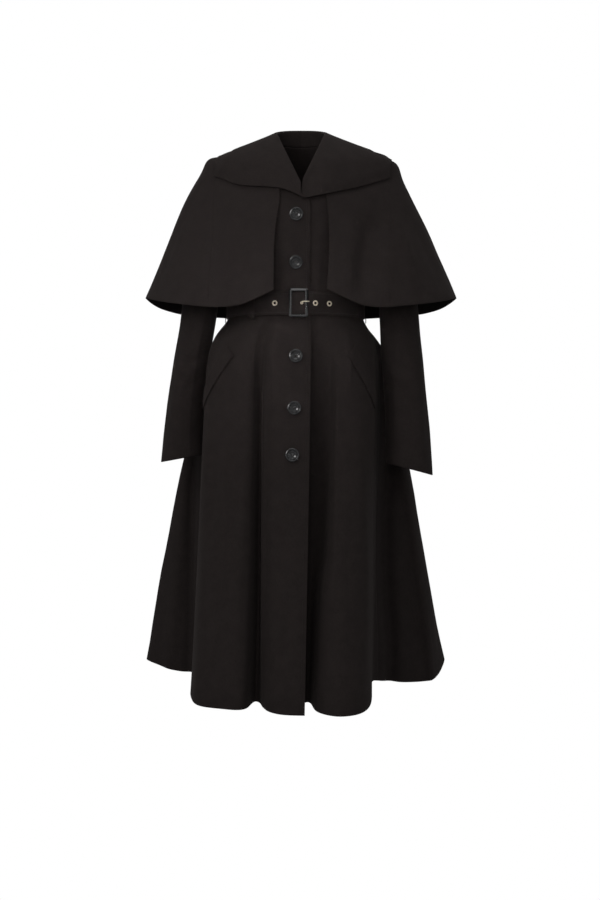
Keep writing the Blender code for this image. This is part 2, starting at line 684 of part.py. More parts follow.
def wall_mesh(name, outer, inner):
    """A closed wall between two grids of points."""
    rows, columns = outer.shape[:2]
    points = [tuple(point) for grid in (outer, inner) for point in grid.reshape(-1, 3)]
    back = rows * columns
    faces = []
    for row in range(rows - 1):
        for column in range(columns - 1):
            corner = row * columns + column
            quad = (corner, corner + 1, corner + columns + 1, corner + columns)
            faces.append(quad)
            faces.append(tuple(back + index for index in reversed(quad)))
    rim = [column for column in range(columns)]
    rim += [row * columns + columns - 1 for row in range(1, rows)]
    rim += [(rows - 1) * columns + column for column in range(columns - 2, -1, -1)]
    rim += [row * columns for row in range(rows - 2, 0, -1)]
    for here, after in zip(rim, rim[1:] + rim[:1]):
        faces.append((here, back + here, back + after, after))
    return mesh_from(name, points, faces)


def cloth_wall(name, surface, places, facing=1, lift=0.0, thick=CLOTH, trims=()):
    """A cloth panel: its outer face on a surface at a grid of places, its wall going inwards.

    The face is lifted off the surface by one amount, or by an amount for each column.
    """
    points = np.array([[surface(u, v) for u, v in row] for row in places])
    normals = np.array([[normal_at(surface, u, v, facing) for u, v in row] for row in places])
    lifts = np.broadcast_to(np.asarray(lift), points.shape[:2])[:, :, None]
    outer = pull_in(points + normals * lifts, trims)
    inner = pull_in(points + normals * (lifts - thick), trims)
    return add_object(name, wall_mesh(name, outer, inner), WOOL)


def spread(start, end, count):
    return [blend(start, end, step / count) for step in range(count + 1)]


def even_angles(start, end):
    """Angles between two seams of the skirt that stand about evenly apart along its hem."""
    fine = spread(start, end, 240)
    hem = np.array([(FOLDS_AT.x(angle), FOLDS_AT.y(angle)) for angle in fine])
    run = np.concatenate(([0.0], np.cumsum(np.linalg.norm(np.diff(hem, axis=0), axis=1))))
    count = max(3, round(run[-1] / SKIRT_COLUMN))
    return [float(np.interp(length, run, fine)) for length in spread(0.0, run[-1], count)]


def make_skirt():
    panels = (
        ("skirt_front_right", LAP_EDGE_ANGLE, SIDE_SEAM, ("last_column",)),
        ("skirt_back_right", SIDE_SEAM, 180.0, ("first_column", "last_column")),
        ("skirt_back_left", 180.0, 360.0 - SIDE_SEAM, ("first_column", "last_column")),
        ("skirt_front_left", 360.0 - SIDE_SEAM, UNDERLAP_ANGLE, ("first_column",)),
    )
    for name, start, end, seams in panels:
        angles = even_angles(start, end)
        if end == UNDERLAP_ANGLE:
            angles = sorted(angles + [UNDERLAP_FROM, UNDERLAP_FULL])
        places = [[(angle, drop) for angle in angles] for drop in SKIRT_LEVELS]
        under = [-STEP_DEPTH * ease(UNDERLAP_FROM, UNDERLAP_FULL, angle) for angle in angles]
        cloth_wall(name, skirt, places, lift=under, trims=seams + ("first_row",))


def armhole_angle(z):
    """How far the armhole's edge stands from the side seam at a height."""
    height = (z - ARMHOLE_Z) / ARMHOLE_RISE
    return ARMHOLE_REACH * math.sqrt(max(0.0, 1.0 - height * height))


def bodice_levels():
    """Shares of the way up the side: to the underarm, round the armhole, and along the shoulder."""
    shoulder = NECK_AT.seam_z(90.0)
    heights = spread(WAIST_Z, ARMHOLE_Z - ARMHOLE_RISE, 4)
    heights += [ARMHOLE_Z + ARMHOLE_RISE * math.cos(math.radians(turn)) for turn in spread(180.0, 0.0, 8)[1:]]
    heights += spread(ARMHOLE_Z + ARMHOLE_RISE, shoulder, 3)[1:]
    return [(height - WAIST_Z) / (shoulder - WAIST_Z) for height in heights]


def make_bodice():
    shoulder = NECK_AT.seam_z(90.0)
    right, left, back = [], [], []
    for level in bodice_levels():
        side = 90.0 - armhole_angle(blend(WAIST_Z, shoulder, level))
        edge_z = blend(WAIST_Z, NECK[0].seam_z, level)
        lap = torso_angle(lap_edge_x(edge_z), edge_z)
        narrowing = UNDERLAP_TAPER * ease(UNDERLAP_TAPER_FROM, 1.0, level)
        under = torso_angle(UNDERLAP_X * (1.0 - narrowing), edge_z)
        top_lap = torso_angle(0.0, NECK[0].seam_z)
        right.append([])
        for share in BODICE_COLUMNS:
            top_z = NECK_AT.seam_z(max(0.0, blend(top_lap, 90.0, share)))
            angle = blend(lap, 90.0, share) - (90.0 - side) * share**SIDE_PULL
            right[-1].append((angle, blend(WAIST_Z, top_z, level)))
        left.append([])
        for angle in (under, blend(under, lap - STEP_FULL, 0.5), lap - STEP_FULL):
            left[-1].append((360.0 + angle, edge_z))
        for share in BODICE_COLUMNS:
            top_z = NECK_AT.seam_z(max(0.0, blend(STEP_FROM - top_lap, 90.0, share)))
            angle = blend(STEP_FROM - lap, 90.0, share) - (90.0 - side) * share**SIDE_PULL
            left[-1].append((360.0 - angle, blend(WAIST_Z, top_z, level)))
        back.append([])
        for share in spread(0.0, 1.0, 16):
            top_z = NECK_AT.seam_z(folded(blend(90.0, 270.0, share)))
            back[-1].append((blend(180.0 - side, 180.0 + side, share), blend(WAIST_Z, top_z, level)))
    seams = ("first_row", "last_row")
    under_lap = [-STEP_DEPTH] * 3 + [0.0] * len(BODICE_COLUMNS)
    cloth_wall("bodice_front_right", torso, right, facing=-1, trims=seams + ("last_column",))
    cloth_wall("bodice_front_left", torso, left, facing=-1, lift=under_lap, trims=seams + ("last_column",))
    cloth_wall("bodice_back", torso, back, facing=-1, trims=seams + ("first_column", "last_column"))


def make_sleeves():
    for side, rows, outward_x, facing in (("right", SLEEVE_RIGHT, -1.0, -1), ("left", SLEEVE_LEFT, 1.0, 1)):

        def surface(around, run, rows=rows, outward_x=outward_x):
            return sleeve(rows, outward_x, around, run)

        parts = (("upper", -SLEEVE_SEAM, SLEEVE_SEAM), ("under", SLEEVE_SEAM, 360.0 - SLEEVE_SEAM))
        for part, start, end in parts:
            turns = spread(start, end, round((end - start) / SLEEVE_STEP))
            places = [[(turn, run) for turn in turns] for run in SLEEVE_RUNS]
            cloth_wall(
                f"sleeve_{side}_{part}", surface, places, facing=facing, trims=("first_column", "last_column")
            )


def make_cape():
    drops = [CAPE_LYING * share for share in CAPE_LYING_SHARES] + spread(CAPE_LYING, 1.0, 5)[1:]
    edges = [cape_angle_at(-1.0, CAPE_EDGE_AT.right_x(drop), drop) for drop in drops]
    left_edges = [360.0 - cape_angle_at(1.0, CAPE_EDGE_AT.left_x(drop), drop) for drop in drops]
    seams = [cape_seam_angle(drop) for drop in drops]
    backs = [CAPE_BACK_SEAM] * len(drops)
    both = ("first_column", "last_column")
    left_seams, left_backs = ([360.0 - angle for angle in line] for line in (seams, backs))
    for name, starts, ends, count, trims in (
        ("cape_front_right", edges, seams, 7, both[1:]),
        ("cape_side_right", seams, backs, 10, both),
        ("cape_back", backs, left_backs, 12, both),
        ("cape_side_left", left_backs, left_seams, 10, both),
        ("cape_front_left", left_seams, left_edges, 7, both[:1]),
    ):
        places = []
        for start, end, drop in zip(starts, ends, drops):
            places.append([(angle, drop) for angle in spread(start, end, count)])
        cloth_wall(name, cape, places, trims=trims)


def make_collar():
    for side in ("right", "left"):
        right_half = side == "right"
        angles = (0.0 if right_half else COLLAR_LEFT_START,) + COLLAR_FRONT_ANGLES
        angles += COLLAR_CORNER_ANGLES + COLLAR_BACK_ANGLES
        if not right_half:
            angles = [360.0 - angle for angle in angles]
        columns = np.array([collar_profile(angle, right_half) for angle in angles])
        outer, ways = columns.transpose(1, 2, 0, 3)
        inner = outer - COLLAR_CLOTH * ways
        mesh = wall_mesh(f"collar_{side}", pull_in(outer, ("last_column",)), pull_in(inner, ("last_column",)))
        add_object(f"collar_{side}", mesh, WOOL)


def make_belt():
    def strap(angle, height):
        plan = belt_line(angle, belt_lift(angle) + STRAP)
        return np.array((plan[0], plan[1], BELT_Z - height))

    angles = spread(BELT_START, BELT_RISE_FROM, 48) + spread(BELT_RISE_FROM, BELT_TIP, 18)[1:]
    half = 0.5 * BELT_HEIGHT
    places = [[(angle, height) for angle in angles] for height in (-half, half)]
    cloth_wall("belt_strap", strap, places, thick=STRAP)


def make_carriers():
    for row in CARRIERS:
        over = row.belt_layers * (STRAP + LAYER_GAP) + CARRIER_CLOTH
        corner = 0.5 * BELT_HEIGHT + LAYER_GAP
        heights = (CARRIER_TOP, BELT_Z + corner, BELT_Z - corner, CARRIER_BOTTOM)
        lifts = (CARRIER_TOP_LIFT, over, over, CARRIER_BOTTOM_LIFT)
        height_at = curve_through([0, 1, 2, 3], [-height for height in heights])
        lift_at = curve_through([0, 1, 2, 3], list(lifts))

        def strip(angle, run, height_at=height_at, lift_at=lift_at):
            plan = belt_line(angle, lift_at(run))
            return np.array((plan[0], plan[1], -height_at(run)))

        half_turn = 0.5 * math.degrees(row.width / BELT_HALF_WIDTH)
        runs = [0.0, 0.5, 1.0, 1.5, 2.0, 2.5, 3.0]
        sides = (row.angle - half_turn, row.angle + half_turn)
        places = [[(angle, run) for angle in sides] for run in runs]
        cloth_wall(row.name, strip, places, thick=CARRIER_CLOTH)


def rounded_rectangle(width, height, corner, steps=4):
    """Corner arcs of a rounded rectangle about the origin, in order."""
    points = []
    for quarter, (side_x, side_y) in enumerate(((1, 1), (-1, 1), (-1, -1), (1, -1))):
        centre = (side_x * (0.5 * width - corner), side_y * (0.5 * height - corner))
        for step in range(steps + 1):
            turn = math.radians(90.0 * (quarter + step / steps))
            points.append((centre[0] + corner * math.cos(turn), centre[1] + corner * math.sin(turn)))
    return points


def buckle_plane():
    """The y of the buckle's back, just off the strap where that stands furthest out."""
    return -(BELT_FRONT + STRAP + LAYER_GAP + STRAP + SEAM_GAP)


def make_buckle():
    """The frame is a rounded ring of bar, with a centre bar that passes behind the strap."""
    points, faces = [], []
    for row in BUCKLE_SECTION:
        inset = row.inset_share * BUCKLE_BAR
        rise = row.rise_share * BUCKLE_THICK
        corner = blend(BUCKLE_CORNER, BUCKLE_CORNER_INNER, row.inset_share)
        for x, z in rounded_rectangle(BUCKLE_WIDTH - 2 * inset, BUCKLE_HEIGHT - 2 * inset, corner):
            points.append((BUCKLE_X + x, buckle_plane() - rise, BELT_Z + z))
    ring = len(points) // len(BUCKLE_SECTION)
    for section in range(len(BUCKLE_SECTION)):
        after = (section + 1) % len(BUCKLE_SECTION)
        for step in range(ring):
            ahead = (step + 1) % ring
            faces.append(
                (section * ring + step, section * ring + ahead, after * ring + ahead, after * ring + step)
            )
    add_object("buckle_frame", mesh_from("buckle_frame", points, faces), BUCKLE_BLACK)
    window = 0.5 * BUCKLE_HEIGHT - BUCKLE_BAR
    strap_edge = 0.5 * BELT_HEIGHT + SEAM_GAP
    reach = 0.5 * BUCKLE_HEIGHT - CENTRE_BAR_INSET
    front = buckle_plane() + SEAM_GAP
    back = -(BELT_FRONT + SEAM_GAP)
    outline = (
        (front, reach),
        (back, reach),
        (back, -reach),
        (front, -reach),
        (front, -min(window, strap_edge)),
        (back - CENTRE_BAR_THICK, -min(window, strap_edge)),
        (back - CENTRE_BAR_THICK, min(window, strap_edge)),
        (front, min(window, strap_edge)),
    )
    points = []
    for x in (CENTRE_BAR_X - 0.5 * CENTRE_BAR_WIDTH, CENTRE_BAR_X + 0.5 * CENTRE_BAR_WIDTH):
        points += [(x, y, BELT_Z + z) for y, z in outline]
    count = len(outline)
    faces = [tuple(range(count)), tuple(range(2 * count - 1, count - 1, -1))]
    for step in range(count):
        ahead = (step + 1) % count
        faces.append((step, ahead, count + ahead, count + step))
    add_object("buckle_centre_bar", mesh_from("buckle_centre_bar", points, faces), BUCKLE_BLACK)


def strap_front(x):
    """The strap's outer face at an x on the front, and the way it faces."""
    turn = belt_angle(x, belt_lift(360.0) + STRAP)
    angle = 360.0 + turn
    plan = belt_line(angle, belt_lift(angle) + STRAP)
    ahead = belt_line(angle + 0.5, belt_lift(angle + 0.5) + STRAP)
    run = unit(ahead - plan)
    return np.array((plan[0], plan[1], BELT_Z)), np.array((-run[1], run[0], 0.0))


def turned_mesh(name, profile, steps):
    """A profile of radii and heights turned once round the Z axis."""
    made = bmesh.new()
    corners = [made.verts.new((radius, 0.0, height)) for radius, height in profile]
    edges = [made.edges.new(pair) for pair in zip(corners, corners[1:])]
    if profile[0][0] > 0.0:
        edges.append(made.edges.new((corners[-1], corners[0])))
    bmesh.ops.spin(
        made,
        geom=corners + edges,
        cent=(0.0, 0.0, 0.0),
        axis=(0.0, 0.0, 1.0),
        angle=math.tau,
        steps=steps,
        use_merge=True,
    )
    bmesh.ops.remove_doubles(made, verts=made.verts, dist=1e-6)
    bmesh.ops.recalc_face_normals(made, faces=made.faces)
    mesh = bpy.data.meshes.new(name)
    made.to_mesh(mesh)
    made.free()
    return mesh


def stand_on(made, point, normal):
    """Place an object made round Z so that it stands on a surface point."""
    turn = Vector(normal).to_track_quat("Z", "Y").to_matrix().to_4x4()
    made.matrix_world = Matrix.Translation(Vector(point)) @ turn


def make_eyelets():
    profile = [
        (blend(EYELET_HOLE, EYELET_RADIUS, row.out_share), EYELET_RISE * row.rise_share)
        for row in EYELET_PROFILE
    ]
    for count, x in enumerate(EYELET_X, start=1):
        point, normal = strap_front(x)
        mesh = turned_mesh(f"eyelet_{count}", profile, EYELET_STEPS)
        made = add_object(f"eyelet_{count}", mesh, PALE_GOLD)
        stand_on(made, point + LAYER_GAP * normal, normal)


def rod_mesh(name, line, radii, sides=10):
    """A closed round rod along a line that runs mostly level."""
    line = np.array(line)
    ways = np.gradient(line, axis=0)
    points, faces = [], []
    for spot, way, radius in zip(line, ways, radii):
        across = unit(np.cross(way, (0.0, 0.0, 1.0)))
        upward = unit(np.cross(across, way))
        for side in range(sides):
            turn = math.tau * side / sides
            points.append(tuple(spot + radius * (math.cos(turn) * across + math.sin(turn) * upward)))
    for ring in range(len(line) - 1):
        for side in range(sides):
            ahead = (side + 1) % sides
            start = ring * sides
            faces.append((start + side, start + ahead, start + sides + ahead, start + sides + side))
    faces.append(tuple(range(sides)))
    faces.append(tuple(range((len(line) - 1) * sides, len(line) * sides)))
    return mesh_from(name, points, faces)


def make_prong():
    """A round pin that rises from its eyelet and rests across the buckle's bar."""
    root, normal = strap_front(EYELET_X[1])
    crest = buckle_plane() - BUCKLE_THICK - PRONG_RADIUS - SEAM_GAP
    start = root + LAYER_GAP * normal
    line = []
    for row in PRONG_LINE:
        x = blend(start[0], PRONG_REACH, row.x_share)
        line.append((x, blend(start[1], crest, row.climb), BELT_Z + row.rise))
    radii = [PRONG_RADIUS * row.radius_share for row in PRONG_LINE]
    add_object("prong", rod_mesh("prong", line, radii), PALE_GOLD)


def make_buttons():
    profile = [(row.radius_share * BUTTON_RADIUS, row.height) for row in BUTTON_PROFILE]
    for count, (x, z) in enumerate(zip(BUTTON_X, BUTTON_Z), start=1):
        if z > WAIST_Z:
            place, surface, facing = (torso_angle(x, z), z), torso, -1
        else:
            place, surface, facing = skirt_at(x, z, 0.0), skirt, 1
        normal = normal_at(surface, *place, facing)
        mesh = turned_mesh(f"button_{count}", profile, BUTTON_STEPS)
        made = add_object(f"button_{count}", mesh, BUTTON_BLACK)
        stand_on(made, surface(*place) + LAYER_GAP * normal, normal)


def make_pockets():
    for side in ("right", "left"):
        places = []
        for across in (0.0, 0.5, 1.0):
            row = []
            for along in spread(0.0, 1.0, 6):
                angle = WELT_START_ANGLE + WELT_TURN * along + WELT_WIDTH_TURN * across
                z = WELT_START_Z - WELT_FALL * along + WELT_WIDTH_RISE * across
                turn = angle if side == "right" else 360.0 - angle
                row.append((turn, (z - WAIST_Z) / (FOLDS_AT.z(turn) - WAIST_Z)))
            places.append(row)
        cloth_wall(
            f"pocket_welt_{side}", skirt, places, lift=LAYER_GAP + WELT_CLOTH, thick=WELT_CLOTH
        )


def main():
    for old in list(bpy.data.objects):
        bpy.data.objects.remove(old)
    make_skirt()
    make_bodice()
    make_sleeves()
    make_cape()
    make_collar()
    make_belt()
    make_carriers()
    make_buckle()
    make_eyelets()
    make_prong()
    make_buttons()
    make_pockets()


main()
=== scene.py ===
"""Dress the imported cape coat: wool panels with their folds, sewing, buttons, belt fittings and a studio.

Metres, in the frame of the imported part: +Z up, the front faces -Y and +X is the wearer's left. Angles run in
degrees from the centre front towards the wearer's right, so 90 is the right side and 180 the centre back.
"""

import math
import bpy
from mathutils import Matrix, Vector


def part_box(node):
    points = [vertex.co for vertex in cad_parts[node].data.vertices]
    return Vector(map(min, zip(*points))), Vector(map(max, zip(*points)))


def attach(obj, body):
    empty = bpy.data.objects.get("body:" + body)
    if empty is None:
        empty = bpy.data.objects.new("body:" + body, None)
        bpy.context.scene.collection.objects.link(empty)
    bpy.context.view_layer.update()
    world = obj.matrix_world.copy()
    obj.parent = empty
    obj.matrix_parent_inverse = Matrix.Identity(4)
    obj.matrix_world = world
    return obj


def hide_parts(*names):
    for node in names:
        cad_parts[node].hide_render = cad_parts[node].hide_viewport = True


bl_info = {
    "name": "Belted cape coat",
    "version": (1, 0, 0),
    "blender": (4, 5, 0),
    "location": "View3D > Sidebar > Coat",
    "description": "Builds a wool cape coat, its sewing and its fittings on a packed part",
    "category": "Object",
}

from collections import namedtuple

import bmesh
import bpy
import numpy as np
from bpy.props import FloatProperty, FloatVectorProperty, IntProperty, PointerProperty
from mathutils import Matrix, Vector, noise
from mathutils.bvhtree import BVHTree
from mathutils.kdtree import KDTree

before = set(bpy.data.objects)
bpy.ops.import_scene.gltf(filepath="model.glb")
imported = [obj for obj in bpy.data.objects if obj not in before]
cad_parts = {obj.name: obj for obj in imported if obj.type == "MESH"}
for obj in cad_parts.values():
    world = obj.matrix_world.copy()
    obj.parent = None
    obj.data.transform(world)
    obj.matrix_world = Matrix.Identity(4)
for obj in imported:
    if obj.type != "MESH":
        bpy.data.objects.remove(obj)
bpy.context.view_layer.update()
BODY = "root"
BELT_LOW, BELT_HIGH = (corner.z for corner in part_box("belt_strap"))
BUTTON_NODES = [f"button_{count}" for count in range(1, 6)]
EYELET_NODES = [f"eyelet_{count}" for count in range(1, 5)]

# Panels: the size of each one's cut, its flat area, how it is held, what it lies on and what it is sewn to
Panel = namedtuple("Panel", "node width length area held rests_on sewn_to")
OTHER_SIDE = {"right": "left", "left": "right"}


def other_side(node):
    """The name of the node on the coat's other side."""
    return "_".join(OTHER_SIDE.get(word, word) for word in node.split("_"))


def left_twin(panel, **changes):
    """The left panel that mirrors a right one, apart from these changes."""
    twin = {"node": other_side(panel.node)}
    for name in ("rests_on", "sewn_to"):
        twin[name] = tuple(other_side(node) for node in getattr(panel, name))
    twin.update(changes)
    return panel._replace(**twin)


BODICE_FRONT_NODES = ("bodice_front_right", "bodice_front_left")
BODICE_FRONT = Panel("bodice_front_right", 0.26, 0.40, 0.075, "draped", ("bodice_back",), ("bodice_back",))
BODICE_PANELS = (
    BODICE_FRONT,
    left_twin(BODICE_FRONT, area=0.074),
    Panel("bodice_back", 0.48, 0.40, 0.145, "draped", BODICE_FRONT_NODES, BODICE_FRONT_NODES),
)
SKIRT_FRONT = Panel(
    "skirt_front_right", 0.62, 0.83, 0.335, "hung", ("bodice_front_right",),
    ("bodice_front_right", "skirt_back_right"),
)
SKIRT_BACK = Panel(
    "skirt_back_right", 0.66, 0.81, 0.350, "hung", ("bodice_back",),
    ("bodice_back", "skirt_front_right", "skirt_back_left"),
)
SKIRT_PANELS = (
    SKIRT_FRONT,
    left_twin(SKIRT_FRONT, width=0.60, area=0.322),
    SKIRT_BACK,
    left_twin(SKIRT_BACK, area=0.345),
)
UPPER_SLEEVE = Panel(
    "sleeve_right_upper", 0.24, 0.66, 0.102, "hung", ("bodice_front_right",), ("sleeve_right_under",)
)
UNDER_SLEEVE = Panel(
    "sleeve_right_under", 0.15, 0.55, 0.055, "hung", ("bodice_back",), ("sleeve_right_upper",)
)
SLEEVE_PANELS = {
    "right": (UPPER_SLEEVE, UNDER_SLEEVE),
    "left": (left_twin(UPPER_SLEEVE, area=0.111), left_twin(UNDER_SLEEVE, area=0.058)),
}
CAPE_FRONT = Panel(
    "cape_front_right", 0.19, 0.37, 0.047, "draped", ("bodice_front_right",), ("cape_side_right",)
)
CAPE_SIDE = Panel(
    "cape_side_right", 0.40, 0.40, 0.093, "draped", ("sleeve_right_upper",),
    ("cape_front_right", "cape_back"),
)
CAPE_PANELS = (
    CAPE_FRONT,
    CAPE_SIDE,
    Panel("cape_back", 0.56, 0.37, 0.148, "draped", ("bodice_back",), ("cape_side_right", "cape_side_left")),
    left_twin(CAPE_SIDE, area=0.091, sewn_to=("cape_back", "cape_front_left")),
    left_twin(CAPE_FRONT, area=0.048),
)
COLLAR_HALF = Panel(
    "collar_right", 0.42, 0.20, 0.060, "folded", ("cape_front_right", "cape_side_right"), ("collar_left",)
)
COLLAR_PANELS = (COLLAR_HALF, left_twin(COLLAR_HALF, area=0.061))
POCKET_WELT = Panel("pocket_welt_right", 0.034, 0.14, 0.0045, "laid", ("skirt_front_right",), ())
WELT_PANELS = (POCKET_WELT, left_twin(POCKET_WELT, area=0.0047))
BELT_PANEL = Panel("belt_strap", 0.046, 1.04, 0.0478, "laid", ("bodice_back", "bodice_front_right"), ())
CARRIER_NODES = ("belt_carrier_front_right", "belt_carrier_side_right", "belt_carrier_side_left")

# Soft troughs (negative depth) and ridges, each a line from one angle and height to another
Crease = namedtuple("Crease", "angle z end_angle end_z width depth")
SKIRT_CENTRE_X = -0.0135
SKIRT_CREASES = (
    Crease(30, -0.386, -4, -0.402, 0.007, -0.0030),
    Crease(24, -0.396, 6, -0.408, 0.006, 0.0018),
    Crease(15, -0.56, 7, -1.04, 0.018, -0.0032),
    Crease(2, -0.80, -3, -1.14, 0.014, 0.0030),
    Crease(30, -0.42, 25, -1.13, 0.009, -0.0070),
    Crease(24.5, -0.43, 16.5, -1.20, 0.008, 0.0085),
    Crease(38, -0.47, 33, -1.06, 0.020, -0.0030),
    Crease(45, -0.54, 38, -1.10, 0.016, 0.0036),
    Crease(52, -0.60, 44, -1.00, 0.018, -0.0040),
    Crease(63, -0.50, 60, -0.86, 0.022, 0.0030),
    Crease(96, -0.62, 99, -1.02, 0.018, -0.0100),
    Crease(104, -0.72, 105, -1.08, 0.013, 0.0050),
    Crease(109, -0.62, 109, -1.10, 0.011, -0.0050),
    Crease(114, -0.66, 114, -1.06, 0.012, 0.0050),
    Crease(132, -0.55, 134, -1.00, 0.022, 0.0050),
    Crease(146, -0.45, 148, -1.08, 0.020, -0.0060),
    Crease(158, -0.62, 157, -1.10, 0.017, 0.0050),
    Crease(171, -0.43, 173, -0.98, 0.020, -0.0056),
    Crease(186, -0.58, 184, -1.12, 0.016, 0.0056),
    Crease(203, -0.50, 201, -1.04, 0.022, -0.0060),
    Crease(219, -0.64, 217, -1.10, 0.017, 0.0050),
    Crease(231, -0.48, 229, -0.96, 0.020, -0.0056),
    Crease(251.5, -0.69, 250, -1.13, 0.009, 0.0070),
    Crease(245, -0.74, 244, -1.10, 0.013, -0.0050),
    Crease(260, -0.64, 259, -1.02, 0.020, -0.0120),
    Crease(300, -0.60, 297, -1.06, 0.018, -0.0034),
    Crease(312, -0.39, 327, -0.56, 0.011, 0.0050),
    Crease(322, -0.395, 334, -0.54, 0.011, -0.0060),
    Crease(341, -0.42, 343, -0.86, 0.014, -0.0100),
    Crease(318, -0.55, 322, -1.05, 0.017, 0.0030),
    Crease(330, -0.72, 335, -1.12, 0.014, -0.0030),
    Crease(330, -0.50, 347, -1.15, 0.007, 0.0060),
)
CAPE_CREASES = (
    Crease(40, -0.19, 36, -0.35, 0.020, -0.0036),
    Crease(52, -0.21, 49, -0.35, 0.017, 0.0034),
    Crease(66, -0.15, 62, -0.34, 0.017, -0.0056),
    Crease(77, -0.11, 74, -0.33, 0.014, 0.0064),
    Crease(92, -0.14, 93, -0.32, 0.022, -0.0056),
    Crease(110, -0.12, 112, -0.34, 0.020, 0.0056),
    Crease(139, -0.16, 142, -0.35, 0.022, -0.0060),
    Crease(164, -0.17, 162, -0.35, 0.020, 0.0056),
    Crease(195, -0.15, 197, -0.35, 0.022, -0.0060),
    Crease(221, -0.18, 218, -0.35, 0.018, 0.0056),
    Crease(249, -0.13, 247, -0.33, 0.020, -0.0056),
    Crease(268, -0.12, 267, -0.33, 0.020, 0.0054),
    Crease(281, -0.13, 283, -0.32, 0.018, -0.0044),
    Crease(292, -0.13, 296, -0.33, 0.015, 0.0056),
    Crease(299, -0.135, 318, -0.350, 0.024, -0.0170),
    Crease(299, -0.20, 309, -0.35, 0.013, 0.0036),
    Crease(319, -0.18, 330, -0.34, 0.015, 0.0040),
)

# Lines down the skirt as seen from the front: walls of the deep front folds, moved sideways to stand
# steeper, and troughs and ridges of the side panels, moved to the back or the front
FoldLine = namedtuple("FoldLine", "z x end_z end_x width move")
FOLD_WALLS = (
    FoldLine(-0.44, -0.073, -1.16, -0.069, 0.012, -0.003),
    FoldLine(-0.40, 0.054, -0.92, 0.040, 0.015, 0.009),
)
SIDE_FOLDS = (
    FoldLine(-0.58, 0.187, -1.20, 0.188, 0.017, 0.023),
    FoldLine(-0.64, 0.217, -1.13, 0.281, 0.013, -0.015),
    FoldLine(-0.70, 0.222, -1.10, 0.277, 0.005, -0.004),
    FoldLine(-0.60, -0.230, -1.20, -0.236, 0.015, 0.019),
    FoldLine(-0.66, -0.255, -1.20, -0.288, 0.015, -0.010),
)
# The side folds lie between these places from front to back; a line that ends this low runs out at the hem
SIDE_FRONT_Y = -0.02
SIDE_BACK_Y = 0.15
LINE_OPEN_BELOW = -1.10

# Creases of the sleeves, at angles round each sleeve's own middle line, which is found below a height from
# the boxes between some levels
SLEEVE_CREASES = {
    "right": (
        Crease(-52, -0.44, 18, -0.475, 0.010, -0.0034),
        Crease(-60, -0.475, 8, -0.520, 0.011, -0.0040),
        Crease(-58, -0.460, 10, -0.498, 0.009, 0.0026),
        Crease(12, -0.40, 26, -0.64, 0.013, 0.0028),
        Crease(60, -0.52, 64, -0.65, 0.014, -0.0024),
        Crease(150, -0.42, 100, -0.455, 0.011, -0.0030),
        Crease(215, -0.46, 165, -0.490, 0.012, 0.0028),
        Crease(235, -0.55, 228, -0.65, 0.014, -0.0026),
    ),
    "left": (
        Crease(56, -0.455, -16, -0.487, 0.010, -0.0034),
        Crease(62, -0.490, -4, -0.535, 0.011, -0.0040),
        Crease(60, -0.473, -8, -0.512, 0.009, 0.0026),
        Crease(22, -0.40, 34, -0.66, 0.011, 0.0036),
        Crease(2, -0.42, 10, -0.64, 0.015, -0.0024),
        Crease(-58, -0.53, -66, -0.67, 0.014, -0.0026),
        Crease(-150, -0.43, -100, -0.468, 0.011, -0.0030),
        Crease(-212, -0.48, -160, -0.505, 0.012, 0.0028),
    ),
}
SLEEVE_TOP = -0.22
SLEEVE_LEVELS = 9

# Slight waves between the creases: their size along each axis, where the noise starts and their share of the
# height that is set. The last one makes the creases' own depth uneven
Wave = namedtuple("Wave", "size start share")
SKIRT_WAVE = Wave((0.045, 0.045, 0.22), 5.0, 1.3)
BODICE_WAVE = Wave((0.05, 0.05, 0.07), 7.0, 0.8)
CAPE_WAVE = Wave((0.05, 0.05, 0.10), 11.0, 1.0)
SLEEVE_WAVE = Wave((0.035, 0.035, 0.07), 13.0, 1.0)
CREASE_WANDER = Wave((0.05, 0.05, 0.09), 3.0, 0.45)
CREASE_FADE_POWER = 0.7

# Where the creases and waves set in, from none to full: distances from the belt, heights, places towards the
# front, shares of a fold's line and shares of a button's radius
BELOW_BELT = (0.004, 0.026)
ABOVE_BELT = (0.006, 0.040)
BODICE_FREE_Z = (-0.15, -0.18)
CAPE_HANGING_Z = (-0.10, -0.22)
SLEEVE_FREE_Z = (-0.24, -0.34)
FOLD_WALL_Y = (-0.06, -0.10)
SIDE_BLEND = 0.03
LINE_START = (0.0, 0.2)
LINE_END = (0.85, 1.0)
BUTTON_CLEAR = (1.1, 2.6)

# Edges and seams of the cloth walls
RIM_ANGLE = math.radians(60.0)
RIM_WIDTH = 0.0042
MERGE = 0.00001
SEAM_REACH = 0.0018
SEAM_PULL = 0.62

# The collar's outer edge, which lies on the cape, and the groove that it presses there
COLLAR_EDGE_TOP = -0.030
COLLAR_OPENING_X = 0.040
COLLAR_EDGE_STEP = 0.003
COLLAR_PRESS = 0.0020
COLLAR_SHOULDER_PRESS = 0.0014
COLLAR_SHOULDER_ANGLE = 30.0
COLLAR_PRESS_REACH = 0.022
COLLAR_GROOVE_DEPTH = 0.0030
COLLAR_GROOVE_WIDTH = 0.0070

# The cape's soft corners on the shoulders, across and up
SHOULDER_CORNERS = ((-0.190, -0.047), (0.198, -0.059))
SHOULDER_CORNER_RISE = 0.0070
SHOULDER_CORNER_WIDTH = 0.021
SHOULDER_CORNER_DEPTH = 0.055

